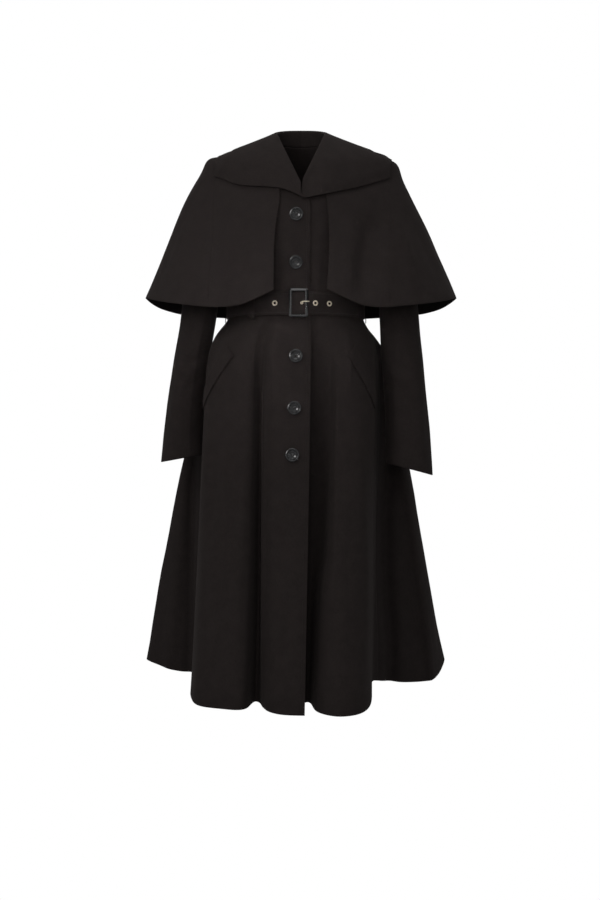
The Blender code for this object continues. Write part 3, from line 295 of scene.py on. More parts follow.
# Topstitching: a stitch's form, with its lift as a share of the thread's radius, and where the rows run
STITCH_SIDES = 6
STITCH_ENDS = (0.22, 0.78)
STITCH_LIFT = 0.4
STITCH_FLATNESS = 0.8
RAY_START = 0.6
PATH_STEP = 0.004
PATH_TURN = 2.0
EDGE_SEARCH = (-0.02, 0.05)
EDGE_HALVINGS = 16
STITCHING_NECK_END = -0.150
STITCHING_HEM_GAP = 0.006
STITCHING_UNDER_BELT = 0.004

# Insets of a face from its edge inwards. For the button a row gives the width as a share of the radius and
# the rise in metres; for the buckle it gives shares of the bar's width and of the thickness
InsetRow = namedtuple("InsetRow", "share rise")
FACING = 0.9
SMOOTH_ANGLE = math.radians(35.0)

# Buttons. The threads lie at shares of the distance from the middle to a hole
BUTTON_EDGE_HEIGHT = 0.0030
BUTTON_FOOT_SHARE = 0.88
BUTTON_FACE = (
    InsetRow(0.04, 0.0010),
    InsetRow(0.13, 0.0008),
    InsetRow(0.03, 0.0000),
    InsetRow(0.06, -0.0007),
    InsetRow(0.05, -0.0018),
    InsetRow(0.05, -0.0003),
    InsetRow(0.06, 0.0009),
    InsetRow(0.05, 0.0002),
    InsetRow(0.08, -0.0006),
    InsetRow(0.13, -0.0008),
    InsetRow(0.12, -0.0002),
)
BUTTON_HOLES = 4
BUTTON_SINK = 0.0007
BUTTON_SEWN_HEIGHT = 0.0020
BUTTON_THREAD_RADIUS = 0.0006
BUTTON_THREAD_PLACE = 0.72
BUTTON_THREAD_REACH = 1.35
BUTTON_THREAD_SHARE = 0.96

BUCKLE_EDGE_SHARE = 0.34
BUCKLE_FACE = (
    InsetRow(0.28, 0.36),
    InsetRow(0.20, 0.24),
    InsetRow(0.10, 0.03),
    InsetRow(0.14, 0.00),
    InsetRow(0.10, -0.03),
    InsetRow(0.18, -0.45),
)
BUCKLE_CORNER_SHARE = 0.92
BUCKLE_WINDOW_SHARE = 0.3

# The prong's curve: the handles before and after its root and its tip, and the tip's drop and width in radii
PRONG_ROOT_HANDLES = (Vector((0.0, 0.004, -0.001)), Vector((0.0, -0.0090, 0.0036)))
PRONG_TIP_HANDLES = (Vector((-0.0120, -0.0004, -0.0002)), Vector((0.002, 0.0, 0.0)))
PRONG_TIP_DROP = 1.6
PRONG_TIP_SHARE = 0.7

# Eyelets: the rolled tube as a share of the radius, and the inset and depth in tubes of the near-black disc of
# painted shade that fills the hole
EYELET_TUBE_SHARE = 0.26
EYELET_FLATNESS = 0.62
EYELET_SINK = 0.0003
EYELET_SHADE_DISC_INSET = 1.5
EYELET_SHADE_DISC_DEPTH = 0.25
PRONG_EYELET = "eyelet_2"
PRONG_RING_SHARE = 0.55

# The studio's lamps: what each one points at, and whether glossy pieces mirror it
Lamp = namedtuple("Lamp", "name place aim size colour mirrored spread")
NECK = (0.0, 0.0, 0.0)
CHEST = (0.0, 0.0, -0.30)
WAIST = (-0.05, 0.0, -0.385)
WHITE = (1.0, 1.0, 1.0)
SOFT_WHITE = (1.0, 0.99, 0.98)
WARM_WHITE = (1.0, 0.985, 0.97)
WIDE = math.pi
NARROW = math.radians(9.0)
LAMPS = (
    Lamp("key", (-1.45, -1.7, 0.70), CHEST, 0.9, WARM_WHITE, True, WIDE),
    Lamp("front", (-0.25, -2.3, 0.0), CHEST, 1.2, SOFT_WHITE, False, WIDE),
    Lamp("card", (-0.25, -3.3, -0.10), CHEST, 1.1, WHITE, True, WIDE),
    Lamp("waist", (-0.3, -3.2, -0.35), WAIST, 0.3, SOFT_WHITE, False, NARROW),
    Lamp("fill", (2.3, -2.1, 0.2), CHEST, 1.4, WHITE, False, WIDE),
    Lamp("top", (0.1, -0.3, 1.7), NECK, 1.4, WHITE, True, WIDE),
)
MIRRORED_SKY_LOSS = 0.50
FLOOR_WIDTH = 16.0


def length_setting(name, description, default):
    """A setting in metres."""
    return FloatProperty(name=name, description=description, unit="LENGTH", default=default)


def colour_setting(name, description, default):
    """A setting that is a colour."""
    return FloatVectorProperty(name=name, description=description, subtype="COLOR", size=3, default=default)


def power_setting(name, lamp, default):
    """A lamp's power in watts."""
    return FloatProperty(name=name, description=f"Power of the {lamp} in watts", default=default)


class CoatClothSettings(bpy.types.PropertyGroup):
    """The wool and how it falls."""

    wool_colour: colour_setting("Wool", "Colour of the felted wool", (0.0187, 0.0150, 0.0144))
    nap_size: length_setting("Nap", "Size of the felted surface's grain", 0.0011)
    mottle_size: length_setting("Mottle", "Size of the uneven patches in the dye", 0.022)
    crease_strength: FloatProperty(
        name="Creases", description="Share of the creases' full depth", subtype="FACTOR", default=1.0
    )
    ripple: length_setting("Ripple", "Height of the slight waves between creases", 0.0011)
    edge_round: length_setting("Edge", "Roundness of the cloth's turned edges", 0.0009)
    panel_levels: IntProperty(
        name="Smoothness", description="Subdivision of the large panels", default=2, min=1, max=3
    )


class CoatSewingSettings(bpy.types.PropertyGroup):
    """Topstitching."""

    thread_colour: colour_setting("Thread", "Colour of the sewing thread", (0.022, 0.020, 0.020))
    stitch_length: length_setting("Stitch", "Length of a stitch", 0.0032)
    stitch_gap: length_setting("Gap", "Gap between stitches", 0.0010)
    thread_radius: length_setting("Radius", "Half the thread's width", 0.00034)
    front_inset: length_setting("Front inset", "From the closing edge to its stitching", 0.0080)
    belt_inset: length_setting("Belt inset", "From the belt's edge to its stitching", 0.0042)


class CoatFittingSettings(bpy.types.PropertyGroup):
    """Buttons, buckle, prong and eyelets."""

    button_colour: colour_setting("Buttons", "Colour of the buttons", (0.015, 0.015, 0.016))
    button_radius: length_setting("Button radius", "Half a button's width", 0.014)
    hole_radius: length_setting("Button hole", "Half a sewing hole's width", 0.0011)
    hole_offset: length_setting("Hole offset", "From the button's middle to a hole's", 0.0021)
    buckle_colour: colour_setting("Buckle", "Colour of the buckle", (0.020, 0.020, 0.021))
    buckle_bar: length_setting("Buckle bar", "Width of the buckle's bar", 0.0065)
    metal_colour: colour_setting("Metal", "Colour of the eyelets and prong", (0.80, 0.72, 0.56))
    prong_radius: length_setting("Prong", "Half the prong's width", 0.0014)


class CoatStageSettings(bpy.types.PropertyGroup):
    """Camera, floor and light."""

    lens: FloatProperty(
        name="Lens", description="Focal length for a 36 mm film", unit="CAMERA", default=65.4
    )
    camera_distance: length_setting("Distance", "From the camera to the coat's middle", 3.4)
    camera_x: length_setting("Camera x", "The camera's place across", -0.002)
    camera_z: length_setting("Camera z", "The camera's height", -0.645)
    floor_z: length_setting("Floor", "The floor's height", -1.55)
    floor_colour: colour_setting("Floor", "Colour in which the floor lights the coat", (0.24, 0.24, 0.24))
    sky: FloatProperty(name="Sky", description="Strength of the light all round", default=0.46)
    key: power_setting("Key", "main lamp", 12.4)
    front: power_setting("Front", "lamp by the camera", 9.0)
    card: power_setting("Card", "card that glossy pieces mirror", 2.6)
    waist: power_setting("Waist", "narrow lamp at the belt", 0.14)
    fill: power_setting("Fill", "lamp on the right", 0.6)
    top: power_setting("Top", "lamp overhead", 7.0)


def ease(low, high, value):
    """0 at low, 1 at high and beyond, and a smooth step between them, for numbers or arrays."""
    share = np.clip((value - low) / (high - low), 0.0, 1.0)
    return share * share * (3.0 - 2.0 * share)


def select_only(piece):
    """Leave one object selected and active."""
    bpy.ops.object.select_all(action="DESELECT")
    piece.select_set(True)
    bpy.context.view_layer.objects.active = piece


def apply_modifier(piece, kind, **values):
    """Add a modifier with these values and apply it."""
    select_only(piece)
    modifier = piece.modifiers.new(kind.lower(), kind)
    for name, value in values.items():
        setattr(modifier, name, value)
    bpy.ops.object.modifier_apply(modifier=modifier.name)


def round_edges(piece, width, segments, degrees):
    """Bevel the edges that bend by more than some degrees."""
    limit = math.radians(degrees)
    apply_modifier(piece, "BEVEL", width=width, segments=segments, limit_method="ANGLE", angle_limit=limit)


def points_of(piece):
    """A piece's vertices as an array."""
    flat = np.empty(len(piece.data.vertices) * 3)
    piece.data.vertices.foreach_get("co", flat)
    return flat.reshape(-1, 3)


def set_points(piece, points):
    """Move a piece's vertices to these places."""
    piece.data.vertices.foreach_set("co", np.asarray(points, np.float32).ravel())
    piece.data.update()


def new_piece(name, points, faces, material):
    """A mesh piece from points and faces."""
    mesh = bpy.data.meshes.new(name)
    mesh.from_pydata([tuple(point) for point in points], [], [tuple(face) for face in faces])
    mesh.materials.append(material)
    mesh.shade_smooth()
    piece = bpy.data.objects.new(name, mesh)
    bpy.context.scene.collection.objects.link(piece)
    return piece


def active_piece(name, material):
    """Name and finish what an operator has just added."""
    piece = bpy.context.view_layer.objects.active
    piece.name = name
    piece.data.name = name
    piece.data.materials.clear()
    piece.data.materials.append(material)
    return piece


def belongs(piece, slot, *nodes):
    """Ride the coat's body and hide the CAD nodes that it stands for; the slot is not used."""
    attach(piece, BODY)
    if nodes:
        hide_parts(*nodes)


def search_tree(*pieces):
    """A search tree over the faces of some pieces."""
    points, faces = [], []
    for piece in pieces:
        start = len(points)
        points += [vertex.co.copy() for vertex in piece.data.vertices]
        faces += [tuple(start + index for index in face.vertices) for face in piece.data.polygons]
    return BVHTree.FromPolygons(points, faces)


def make_group(name, colours, numbers):
    """A shader group that turns colours and numbers into a surface: its tree and its ends' sockets."""
    tree = bpy.data.node_groups.new(name, "ShaderNodeTree")
    for label in colours:
        tree.interface.new_socket(name=label, in_out="INPUT", socket_type="NodeSocketColor")
    for label in numbers:
        tree.interface.new_socket(name=label, in_out="INPUT", socket_type="NodeSocketFloat")
    tree.interface.new_socket(name="Colour", in_out="OUTPUT", socket_type="NodeSocketColor")
    for label in ("Roughness", "Height"):
        tree.interface.new_socket(name=label, in_out="OUTPUT", socket_type="NodeSocketFloat")
    return tree, tree.nodes.new("NodeGroupInput").outputs, tree.nodes.new("NodeGroupOutput").inputs


def feed(tree, value, socket):
    """Link an output to a socket, or set the socket to a plain value."""
    if isinstance(value, bpy.types.NodeSocket):
        tree.links.new(value, socket)
    else:
        socket.default_value = value


def noise_node(tree, vector, scale, detail, roughness):
    """Noise at a scale, between 0 and 1."""
    node = tree.nodes.new("ShaderNodeTexNoise")
    tree.links.new(vector, node.inputs["Vector"])
    for label, value in (("Scale", scale), ("Detail", detail), ("Roughness", roughness)):
        feed(tree, value, node.inputs[label])
    return node.outputs["Fac"]


def math_node(tree, operation, first, second):
    """An operation on two outputs or numbers."""
    node = tree.nodes.new("ShaderNodeMath")
    node.operation = operation
    feed(tree, first, node.inputs[0])
    feed(tree, second, node.inputs[1])
    return node.outputs["Value"]


def range_node(tree, value, taken, given):
    """Map the range of values that is taken on to the range that is given."""
    node = tree.nodes.new("ShaderNodeMapRange")
    tree.links.new(value, node.inputs["Value"])
    for label, number in zip(("From Min", "From Max", "To Min", "To Max"), (*taken, *given)):
        node.inputs[label].default_value = number
    return node.outputs["Result"]


def felt_group():
    """Felted wool: lying fibres, uneven dye and a few pale flecks."""
    known = bpy.data.node_groups.get("felted_wool")
    if known:
        return known
    tree, taken, given = make_group("felted_wool", ("Colour",), ("Grain", "Patches"))
    place = tree.nodes.new("ShaderNodeTexCoord").outputs["Object"]
    grain = noise_node(tree, place, taken["Grain"], detail=5.0, roughness=0.62)
    fibres = []
    for stretch in ((0.22, 1.0, 1.0), (1.0, 1.0, 0.22)):
        mapping = tree.nodes.new("ShaderNodeMapping")
        mapping.inputs["Scale"].default_value = stretch
        tree.links.new(place, mapping.inputs["Vector"])
        stretched = mapping.outputs["Vector"]
        fibres.append(noise_node(tree, stretched, taken["Grain"], detail=3.0, roughness=0.55))
    lying = math_node(tree, "MULTIPLY", math_node(tree, "ADD", *fibres), 0.5)
    grain_height = math_node(tree, "MULTIPLY", grain, 0.55)
    height = math_node(tree, "ADD", grain_height, math_node(tree, "MULTIPLY", lying, 0.45))
    patches = noise_node(tree, place, taken["Patches"], detail=4.0, roughness=0.6)
    flecks = range_node(tree, grain, (0.66, 0.78), (0.0, 0.55))
    shade = math_node(tree, "ADD", range_node(tree, patches, (0.3, 0.7), (0.90, 1.09)), flecks)
    shade = math_node(tree, "ADD", shade, range_node(tree, lying, (0.35, 0.65), (-0.16, 0.16)))
    tint = tree.nodes.new("ShaderNodeVectorMath")
    tint.operation = "SCALE"
    tree.links.new(taken["Colour"], tint.inputs[0])
    tree.links.new(shade, tint.inputs["Scale"])
    tree.links.new(tint.outputs["Vector"], given["Colour"])
    tree.links.new(range_node(tree, grain, (0.3, 0.7), (0.84, 0.98)), given["Roughness"])
    tree.links.new(height, given["Height"])
    return tree


def moulded_group():
    """Moulded plastic or plated metal: faint swirls in the gloss and rubbed high spots."""
    known = bpy.data.node_groups.get("handled_gloss")
    if known:
        return known
    tree, taken, given = make_group("handled_gloss", ("Colour", "Rubbed"), ("Low gloss", "High gloss"))
    place = tree.nodes.new("ShaderNodeTexCoord").outputs["Object"]
    smear = noise_node(tree, place, scale=320.0, detail=4.0, roughness=0.6)
    fine = noise_node(tree, place, scale=2600.0, detail=3.0, roughness=0.6)
    worn = range_node(tree, math_node(tree, "MULTIPLY", smear, fine), (0.28, 0.46), (0.0, 0.7))
    mix = tree.nodes.new("ShaderNodeMix")
    mix.data_type = "RGBA"
    tree.links.new(worn, mix.inputs["Factor"])
    tree.links.new(taken["Colour"], mix.inputs[6])
    tree.links.new(taken["Rubbed"], mix.inputs[7])
    tree.links.new(mix.outputs[2], given["Colour"])
    spread = math_node(tree, "SUBTRACT", taken["High gloss"], taken["Low gloss"])
    gloss = math_node(tree, "ADD", taken["Low gloss"], math_node(tree, "MULTIPLY", spread, smear))
    tree.links.new(gloss, given["Roughness"])
    tree.links.new(fine, given["Height"])
    return tree


Bump = namedtuple("Bump", "strength depth")
WOOL_BUMP = Bump(0.55, 0.0007)
THREAD_BUMP = Bump(0.3, 0.0002)
MOULDED_BUMP = Bump(0.08, 0.0001)
METAL_BUMP = Bump(0.06, 0.0001)
THREAD_GRAIN = 2600.0
THREAD_PATCHES = 300.0
# Near-black colour of the disc that fills each eyelet's hole: painted shade, standing for the shadow inside
# the hole
SHADE_DISC_COLOUR = (0.0012, 0.0011, 0.0011)


def grouped_material(name, group, values, bump, shader_values):
    """A Principled material whose colour, roughness and relief come from a group."""
    known = bpy.data.materials.get(name)
    if known:
        return known
    material = bpy.data.materials.new(name)
    material.use_nodes = True
    tree = material.node_tree
    shader = tree.nodes["Principled BSDF"]
    for label, value in shader_values.items():
        shader.inputs[label].default_value = value
    surface = tree.nodes.new("ShaderNodeGroup")
    surface.node_tree = group
    for label, value in values.items():
        surface.inputs[label].default_value = value
    relief = tree.nodes.new("ShaderNodeBump")
    relief.inputs["Strength"].default_value = bump.strength
    relief.inputs["Distance"].default_value = bump.depth
    tree.links.new(surface.outputs["Colour"], shader.inputs["Base Color"])
    tree.links.new(surface.outputs["Roughness"], shader.inputs["Roughness"])
    tree.links.new(surface.outputs["Height"], relief.inputs["Height"])
    tree.links.new(relief.outputs["Normal"], shader.inputs["Normal"])
    return material


def felt_material(name, colour, grain, patches, bump, shader_values):
    """A fibrous surface, its grain and patches given as their number in a metre."""
    values = {"Colour": (*colour, 1.0), "Grain": grain, "Patches": patches}
    return grouped_material(name, felt_group(), values, bump, shader_values)


def gloss_material(name, colour, rubbed, gloss, bump, shader_values):
    """A moulded or plated surface, its gloss given as its lowest and highest roughness."""
    low, high = gloss
    values = {"Colour": (*colour, 1.0), "Rubbed": (*rubbed, 1.0), "Low gloss": low, "High gloss": high}
    return grouped_material(name, moulded_group(), values, bump, shader_values)


def wool_material():
    cloth = bpy.context.scene.coat_cloth
    fuzz = {
        "Sheen Weight": 0.045,
        "Sheen Roughness": 0.45,
        "Sheen Tint": (0.70, 0.60, 0.57, 1.0),
        "Specular IOR Level": 0.10,
    }
    grain, patches = 1.0 / cloth.nap_size, 1.0 / cloth.mottle_size
    return felt_material("felted_wool", cloth.wool_colour, grain, patches, WOOL_BUMP, fuzz)


def thread_material():
    colour = bpy.context.scene.coat_sewing.thread_colour
    dull = {"Specular IOR Level": 0.25}
    return felt_material("sewing_thread", colour, THREAD_GRAIN, THREAD_PATCHES, THREAD_BUMP, dull)


# The eyelets' hole discs: painted shade, a near-black surface where the hole would only be in shadow
def shade_disc_material():
    dark = {"Specular IOR Level": 0.05}
    return felt_material("eyelet_hole", SHADE_DISC_COLOUR, THREAD_GRAIN, THREAD_PATCHES, THREAD_BUMP, dark)


def button_material():
    colour = bpy.context.scene.coat_fittings.button_colour
    shine = {"Specular IOR Level": 1.0}
    return gloss_material("button_gloss", colour, (0.03, 0.03, 0.032), (0.10, 0.24), MOULDED_BUMP, shine)


def buckle_material():
    colour = bpy.context.scene.coat_fittings.buckle_colour
    shine = {"Specular IOR Level": 0.9, "IOR": 1.65}
    return gloss_material("buckle_gloss", colour, (0.03, 0.03, 0.031), (0.12, 0.26), MOULDED_BUMP, shine)


def metal_material():
    colour = bpy.context.scene.coat_fittings.metal_colour
    plated = {"Metallic": 0.35}
    return gloss_material("pale_plating", colour, (0.88, 0.83, 0.72), (0.16, 0.36), METAL_BUMP, plated)


def copy_of(node):
    """A new object with a copy of a CAD node's mesh, merged and joined back into quads."""
    name = node + "_cloth"
    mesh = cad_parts[node].data.copy()
    mesh.name = name
    mesh.materials.clear()
    piece = bpy.data.objects.new(name, mesh)
    bpy.context.scene.collection.objects.link(piece)
    select_only(piece)
    bpy.ops.object.mode_set(mode="EDIT")
    bpy.ops.mesh.select_all(action="SELECT")
    bpy.ops.mesh.remove_doubles(threshold=MERGE)
    bpy.ops.mesh.tris_convert_to_quads(face_threshold=math.pi, shape_threshold=math.pi)
    bpy.ops.object.mode_set(mode="OBJECT")
    return piece


def sew_rims(piece, panel):
    """Keep a cloth wall's cut edges sharp and bring them up against the panels that they are sewn to."""
    work = bmesh.new()
    work.from_mesh(piece.data)
    sharp = work.edges.layers.float.new("crease_edge")
    rim = set()
    for edge in work.edges:
        narrow = min(min(side.calc_length() for side in face.edges) for face in edge.link_faces)
        if edge.calc_face_angle(0.0) > RIM_ANGLE and narrow < RIM_WIDTH:
            edge[sharp] = 1.0
            rim.update(edge.verts)
    for node in panel.sewn_to:
        tree = search_tree(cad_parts[node])
        for vertex in rim:
            near, _, _, distance = tree.find_nearest(vertex.co, SEAM_REACH)
            if near and distance > 0.0:
                vertex.co += SEAM_PULL * (near - vertex.co)
    work.to_mesh(piece.data)
    work.free()


def wool_panel(panel, levels, field=None):
    """A CAD cloth wall as a smooth wool panel, with its creases pressed in."""
    piece = copy_of(panel.node)
    sew_rims(piece, panel)
    apply_modifier(piece, "SUBSURF", levels=levels, render_levels=levels)
    round_edges(piece, width=bpy.context.scene.coat_cloth.edge_round, segments=2, degrees=52.0)
    if field:
        points = points_of(piece)
        set_points(piece, points + field(points))
    piece.data.materials.append(wool_material())
    piece.data.shade_smooth()
    belongs(piece, "wool", panel.node)
    return piece


def dress(panels, field, finer=0):
    """Make the wool pieces of some panels; finer ones are subdivided more."""
    levels = bpy.context.scene.coat_cloth.panel_levels + finer
    for panel in panels:
        wool_panel(panel, levels, field)


def waves(points, wave):
    """Smooth noise of a wave's size along each axis, between about minus and plus its share."""
    scale = 1.0 / np.array(wave.size)
    shift = np.array((wave.start, 2.0 * wave.start, -wave.start))
    return wave.share * np.array([noise.noise(Vector(point)) for point in points * scale + shift])


def straight_middle(x):
    """An upright middle line at a place across."""
    return lambda z: np.array((x, 0.0))


def around(points, centre):
    """Each point's way out from a centre line, its distance from that line, and its angle round it."""
    out = points[:, :2] - centre(points[:, 2])
    reach = np.maximum(np.linalg.norm(out, axis=1), 1e-6)
    angle = np.degrees(np.arctan2(-out[:, 0], -out[:, 1]))
    way = np.column_stack((out / reach[:, None], np.zeros(len(points))))
    return way, reach, angle


def crease_push(points, reach, angle, rows):
    """How far out the troughs and ridges push each point, at the strength that is set."""
    push = np.zeros(len(points))
    depth_share = 1.0 + waves(points, CREASE_WANDER)
    for row in rows:
        middle = 0.5 * (row.angle + row.end_angle)
        off = np.radians((angle - middle + 180.0) % 360.0 - 180.0) * reach
        start = np.radians(row.angle - middle) * reach
        run = np.radians(row.end_angle - row.angle) * reach
        fall = row.end_z - row.z
        share = ((off - start) * run + (points[:, 2] - row.z) * fall) / (run * run + fall * fall)
        share = np.clip(share, 0.0, 1.0)
        aside = np.hypot(off - start - share * run, points[:, 2] - row.z - share * fall)
        fade = np.sin(math.pi * share) ** CREASE_FADE_POWER
        push += row.depth * np.exp(-((aside / row.width) ** 2)) * fade * depth_share
    return bpy.context.scene.coat_cloth.crease_strength * push


def ripple_push(points, wave):
    """How far out the slight waves between the creases push each point."""
    return bpy.context.scene.coat_cloth.ripple * waves(points, wave)


def clear_of_buttons(points):
    """1 on open cloth, falling to 0 under the buttons."""
    share = np.ones(len(points))
    near, far = (bpy.context.scene.coat_fittings.button_radius * times for times in BUTTON_CLEAR)
    for node in BUTTON_NODES:
        low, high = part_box(node)
        middle = 0.5 * (low + high)
        aside = np.hypot(points[:, 0] - middle.x, points[:, 2] - middle.z)
        share *= np.where(points[:, 1] < 0.0, ease(near, far, aside), 1.0)
    return share


def near_line(points, row):
    """1 on a fold's line as seen from the front, falling to 0 beside it and at its ends above the hem."""
    x, _, z = points.T
    share = np.clip((z - row.z) / (row.end_z - row.z), 0.0, 1.0)
    near = np.exp(-(((x - row.x - share * (row.end_x - row.x)) / row.width) ** 2))
    lower_end = ease(*LINE_END, share) if row.end_z > LINE_OPEN_BELOW else 0.0
    return near * ease(*LINE_START, share) * (1.0 - lower_end)


def skirt_field(points):
    """The skirt's creases and waves, its front folds' walls and its side folds."""
    way, reach, angle = around(points, straight_middle(SKIRT_CENTRE_X))
    push = crease_push(points, reach, angle, SKIRT_CREASES) + ripple_push(points, SKIRT_WAVE)
    below_belt = ease(*BELOW_BELT, BELT_LOW - points[:, 2])
    moved = way * (push * below_belt * clear_of_buttons(points))[:, None]
    y = points[:, 1]
    behind_front = ease(SIDE_FRONT_Y - SIDE_BLEND, SIDE_FRONT_Y, y)
    beside = behind_front * ease(SIDE_BACK_Y, SIDE_BACK_Y - SIDE_BLEND, y)
    for row in FOLD_WALLS:
        moved[:, 0] += row.move * near_line(points, row) * ease(*FOLD_WALL_Y, y)
    for row in SIDE_FOLDS:
        moved[:, 1] += row.move * near_line(points, row) * beside
    return moved


def bodice_field(points):
    """Slight waves on the bodice, clear of the belt, the buttons and the neck."""
    way = around(points, straight_middle(0.0))[0]
    above_belt = ease(*ABOVE_BELT, points[:, 2] - BELT_HIGH)
    free = ease(*BODICE_FREE_Z, points[:, 2])
    return way * (ripple_push(points, BODICE_WAVE) * above_belt * free * clear_of_buttons(points))[:, None]


def collar_rim(*nodes):
    """A search tree of points along the outer edges of the collar's halves."""
    edge_points = []
    for node in nodes:
        work = bmesh.new()
        work.from_mesh(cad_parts[node].data)
        bmesh.ops.remove_doubles(work, verts=work.verts, dist=MERGE)
        for edge in work.edges:
            first, last = (vertex.co for vertex in edge.verts)
            lies_on_cape = max(first.z, last.z) < COLLAR_EDGE_TOP
            at_front_opening = min(abs(first.x), abs(last.x)) < COLLAR_OPENING_X and first.y < 0.0
            if lies_on_cape and not at_front_opening and edge.calc_face_angle(0.0) > RIM_ANGLE:
                steps = max(1, int(edge.calc_length() / COLLAR_EDGE_STEP))
                edge_points += [first.lerp(last, step / steps) for step in range(steps + 1)]
        work.free()
    rim = KDTree(len(edge_points))
    for index, point in enumerate(edge_points):
        rim.insert(point, index)
    rim.balance()
    return rim


def shoulder_rise(points):
    """The cape stands up to a soft corner along the edge of each shoulder."""
    moved = np.zeros_like(points)
    for corner_x, corner_z in SHOULDER_CORNERS:
        apart = np.hypot(points[:, 0] - corner_x, points[:, 2] - corner_z) / SHOULDER_CORNER_WIDTH
        rise = SHOULDER_CORNER_RISE * np.exp(-(apart**2) - (points[:, 1] / SHOULDER_CORNER_DEPTH) ** 4)
        moved += rise[:, None] * np.array((math.copysign(math.sqrt(0.5), corner_x), 0.0, math.sqrt(0.5)))
    return moved


def cape_field(points):
    """The cape's creases and waves, the groove under the collar's edge and the shoulders' corners."""
    way, reach, angle = around(points, straight_middle(0.0))
    push = crease_push(points, reach, angle, CAPE_CREASES) + ripple_push(points, CAPE_WAVE)
    hanging = ease(*CAPE_HANGING_Z, points[:, 2])
    rim = collar_rim(*(panel.node for panel in COLLAR_PANELS))
    apart = np.array([rim.find(point)[2] for point in points])
    groove = COLLAR_GROOVE_DEPTH * np.exp(-((apart / COLLAR_GROOVE_WIDTH) ** 2))
    return way * (push * hanging - groove)[:, None] + shoulder_rise(points)


def sleeve_centre(side):
    """The sleeve's middle line, from the boxes of its CAD sections."""
    points = np.concatenate([points_of(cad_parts[panel.node]) for panel in SLEEVE_PANELS[side]])
    points = points[points[:, 2] < SLEEVE_TOP]
    levels = np.linspace(points[:, 2].min(), SLEEVE_TOP, SLEEVE_LEVELS)
    middles = []
    for low, high in zip(levels, levels[1:]):
        slab = points[(points[:, 2] >= low) & (points[:, 2] <= high)]
        if len(slab):
            middles.append((slab[:, 2].mean(), *(0.5 * (slab.min(0) + slab.max(0))[:2])))
    heights, across, deep = np.array(sorted(middles)).T
    return lambda z: np.column_stack((np.interp(z, heights, across), np.interp(z, heights, deep)))


def sleeve_field(side):
    """The creases and waves of one sleeve, below the cape's shoulder."""
    centre = sleeve_centre(side)

    def field(points):
        way, reach, angle = around(points, centre)
        push = crease_push(points, reach, angle, SLEEVE_CREASES[side]) + ripple_push(points, SLEEVE_WAVE)
        return way * (push * ease(*SLEEVE_FREE_Z, points[:, 2]))[:, None]

    return field


def collar_field(node):
    """The collar's outer edge comes down to rest on the cape, softly over its last two centimetres."""
    rim = collar_rim(node)
    cape = search_tree(*(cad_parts[panel.node] for panel in CAPE_PANELS))

    def field(points):
        moved = np.zeros_like(points)
        for index, point in enumerate(points):
            distance = rim.find(point)[2]
            if distance < COLLAR_PRESS_REACH:
                place = Vector(point)
                down = (cape.find_nearest(place)[0] - place).normalized()
                turn = math.degrees(math.atan2(point[1], abs(point[0])))
                over_shoulder = math.exp(-((turn / COLLAR_SHOULDER_ANGLE) ** 4))
                press = COLLAR_PRESS + COLLAR_SHOULDER_PRESS * over_shoulder
                moved[index] = press * (1.0 - ease(0.0, COLLAR_PRESS_REACH, distance)) * down
        return moved

    return field


class COAT_OT_bodice(bpy.types.Operator):
    """Dress the fronts and the back of the bodice"""

    bl_idname = "coat.bodice"
    bl_label = "Bodice"

    def execute(self, context):
        dress(BODICE_PANELS, bodice_field)
        return {"FINISHED"}


class COAT_OT_skirt(bpy.types.Operator):
    """Dress the flared skirt's four panels and its pocket welts"""

    bl_idname = "coat.skirt"
    bl_label = "Skirt"

    def execute(self, context):
        dress(SKIRT_PANELS + WELT_PANELS, skirt_field)
        return {"FINISHED"}


class COAT_OT_sleeves(bpy.types.Operator):
    """Dress the two-piece sleeves"""

    bl_idname = "coat.sleeves"
    bl_label = "Sleeves"

    def execute(self, context):
        for side, panels in SLEEVE_PANELS.items():
            dress(panels, sleeve_field(side), finer=1)
        return {"FINISHED"}


class COAT_OT_cape(bpy.types.Operator):
    """Dress the shoulder cape's five panels"""

    bl_idname = "coat.cape"
    bl_label = "Cape"

    def execute(self, context):
        dress(CAPE_PANELS, cape_field, finer=1)
        return {"FINISHED"}


class COAT_OT_collar(bpy.types.Operator):
    """Dress the two halves of the collar"""

    bl_idname = "coat.collar"
    bl_label = "Collar"

    def execute(self, context):
        for panel in COLLAR_PANELS:
            dress((panel,), collar_field(panel.node))
        return {"FINISHED"}


class COAT_OT_belt(bpy.types.Operator):
    """Dress the belt and the carriers that hold it"""

    bl_idname = "coat.belt"
    bl_label = "Belt"

    def execute(self, context):
        levels = context.scene.coat_cloth.panel_levels
        carriers = [wool_panel(BELT_PANEL._replace(node=node), levels) for node in CARRIER_NODES]
        wool_panel(BELT_PANEL, levels)
        return {"FINISHED"}


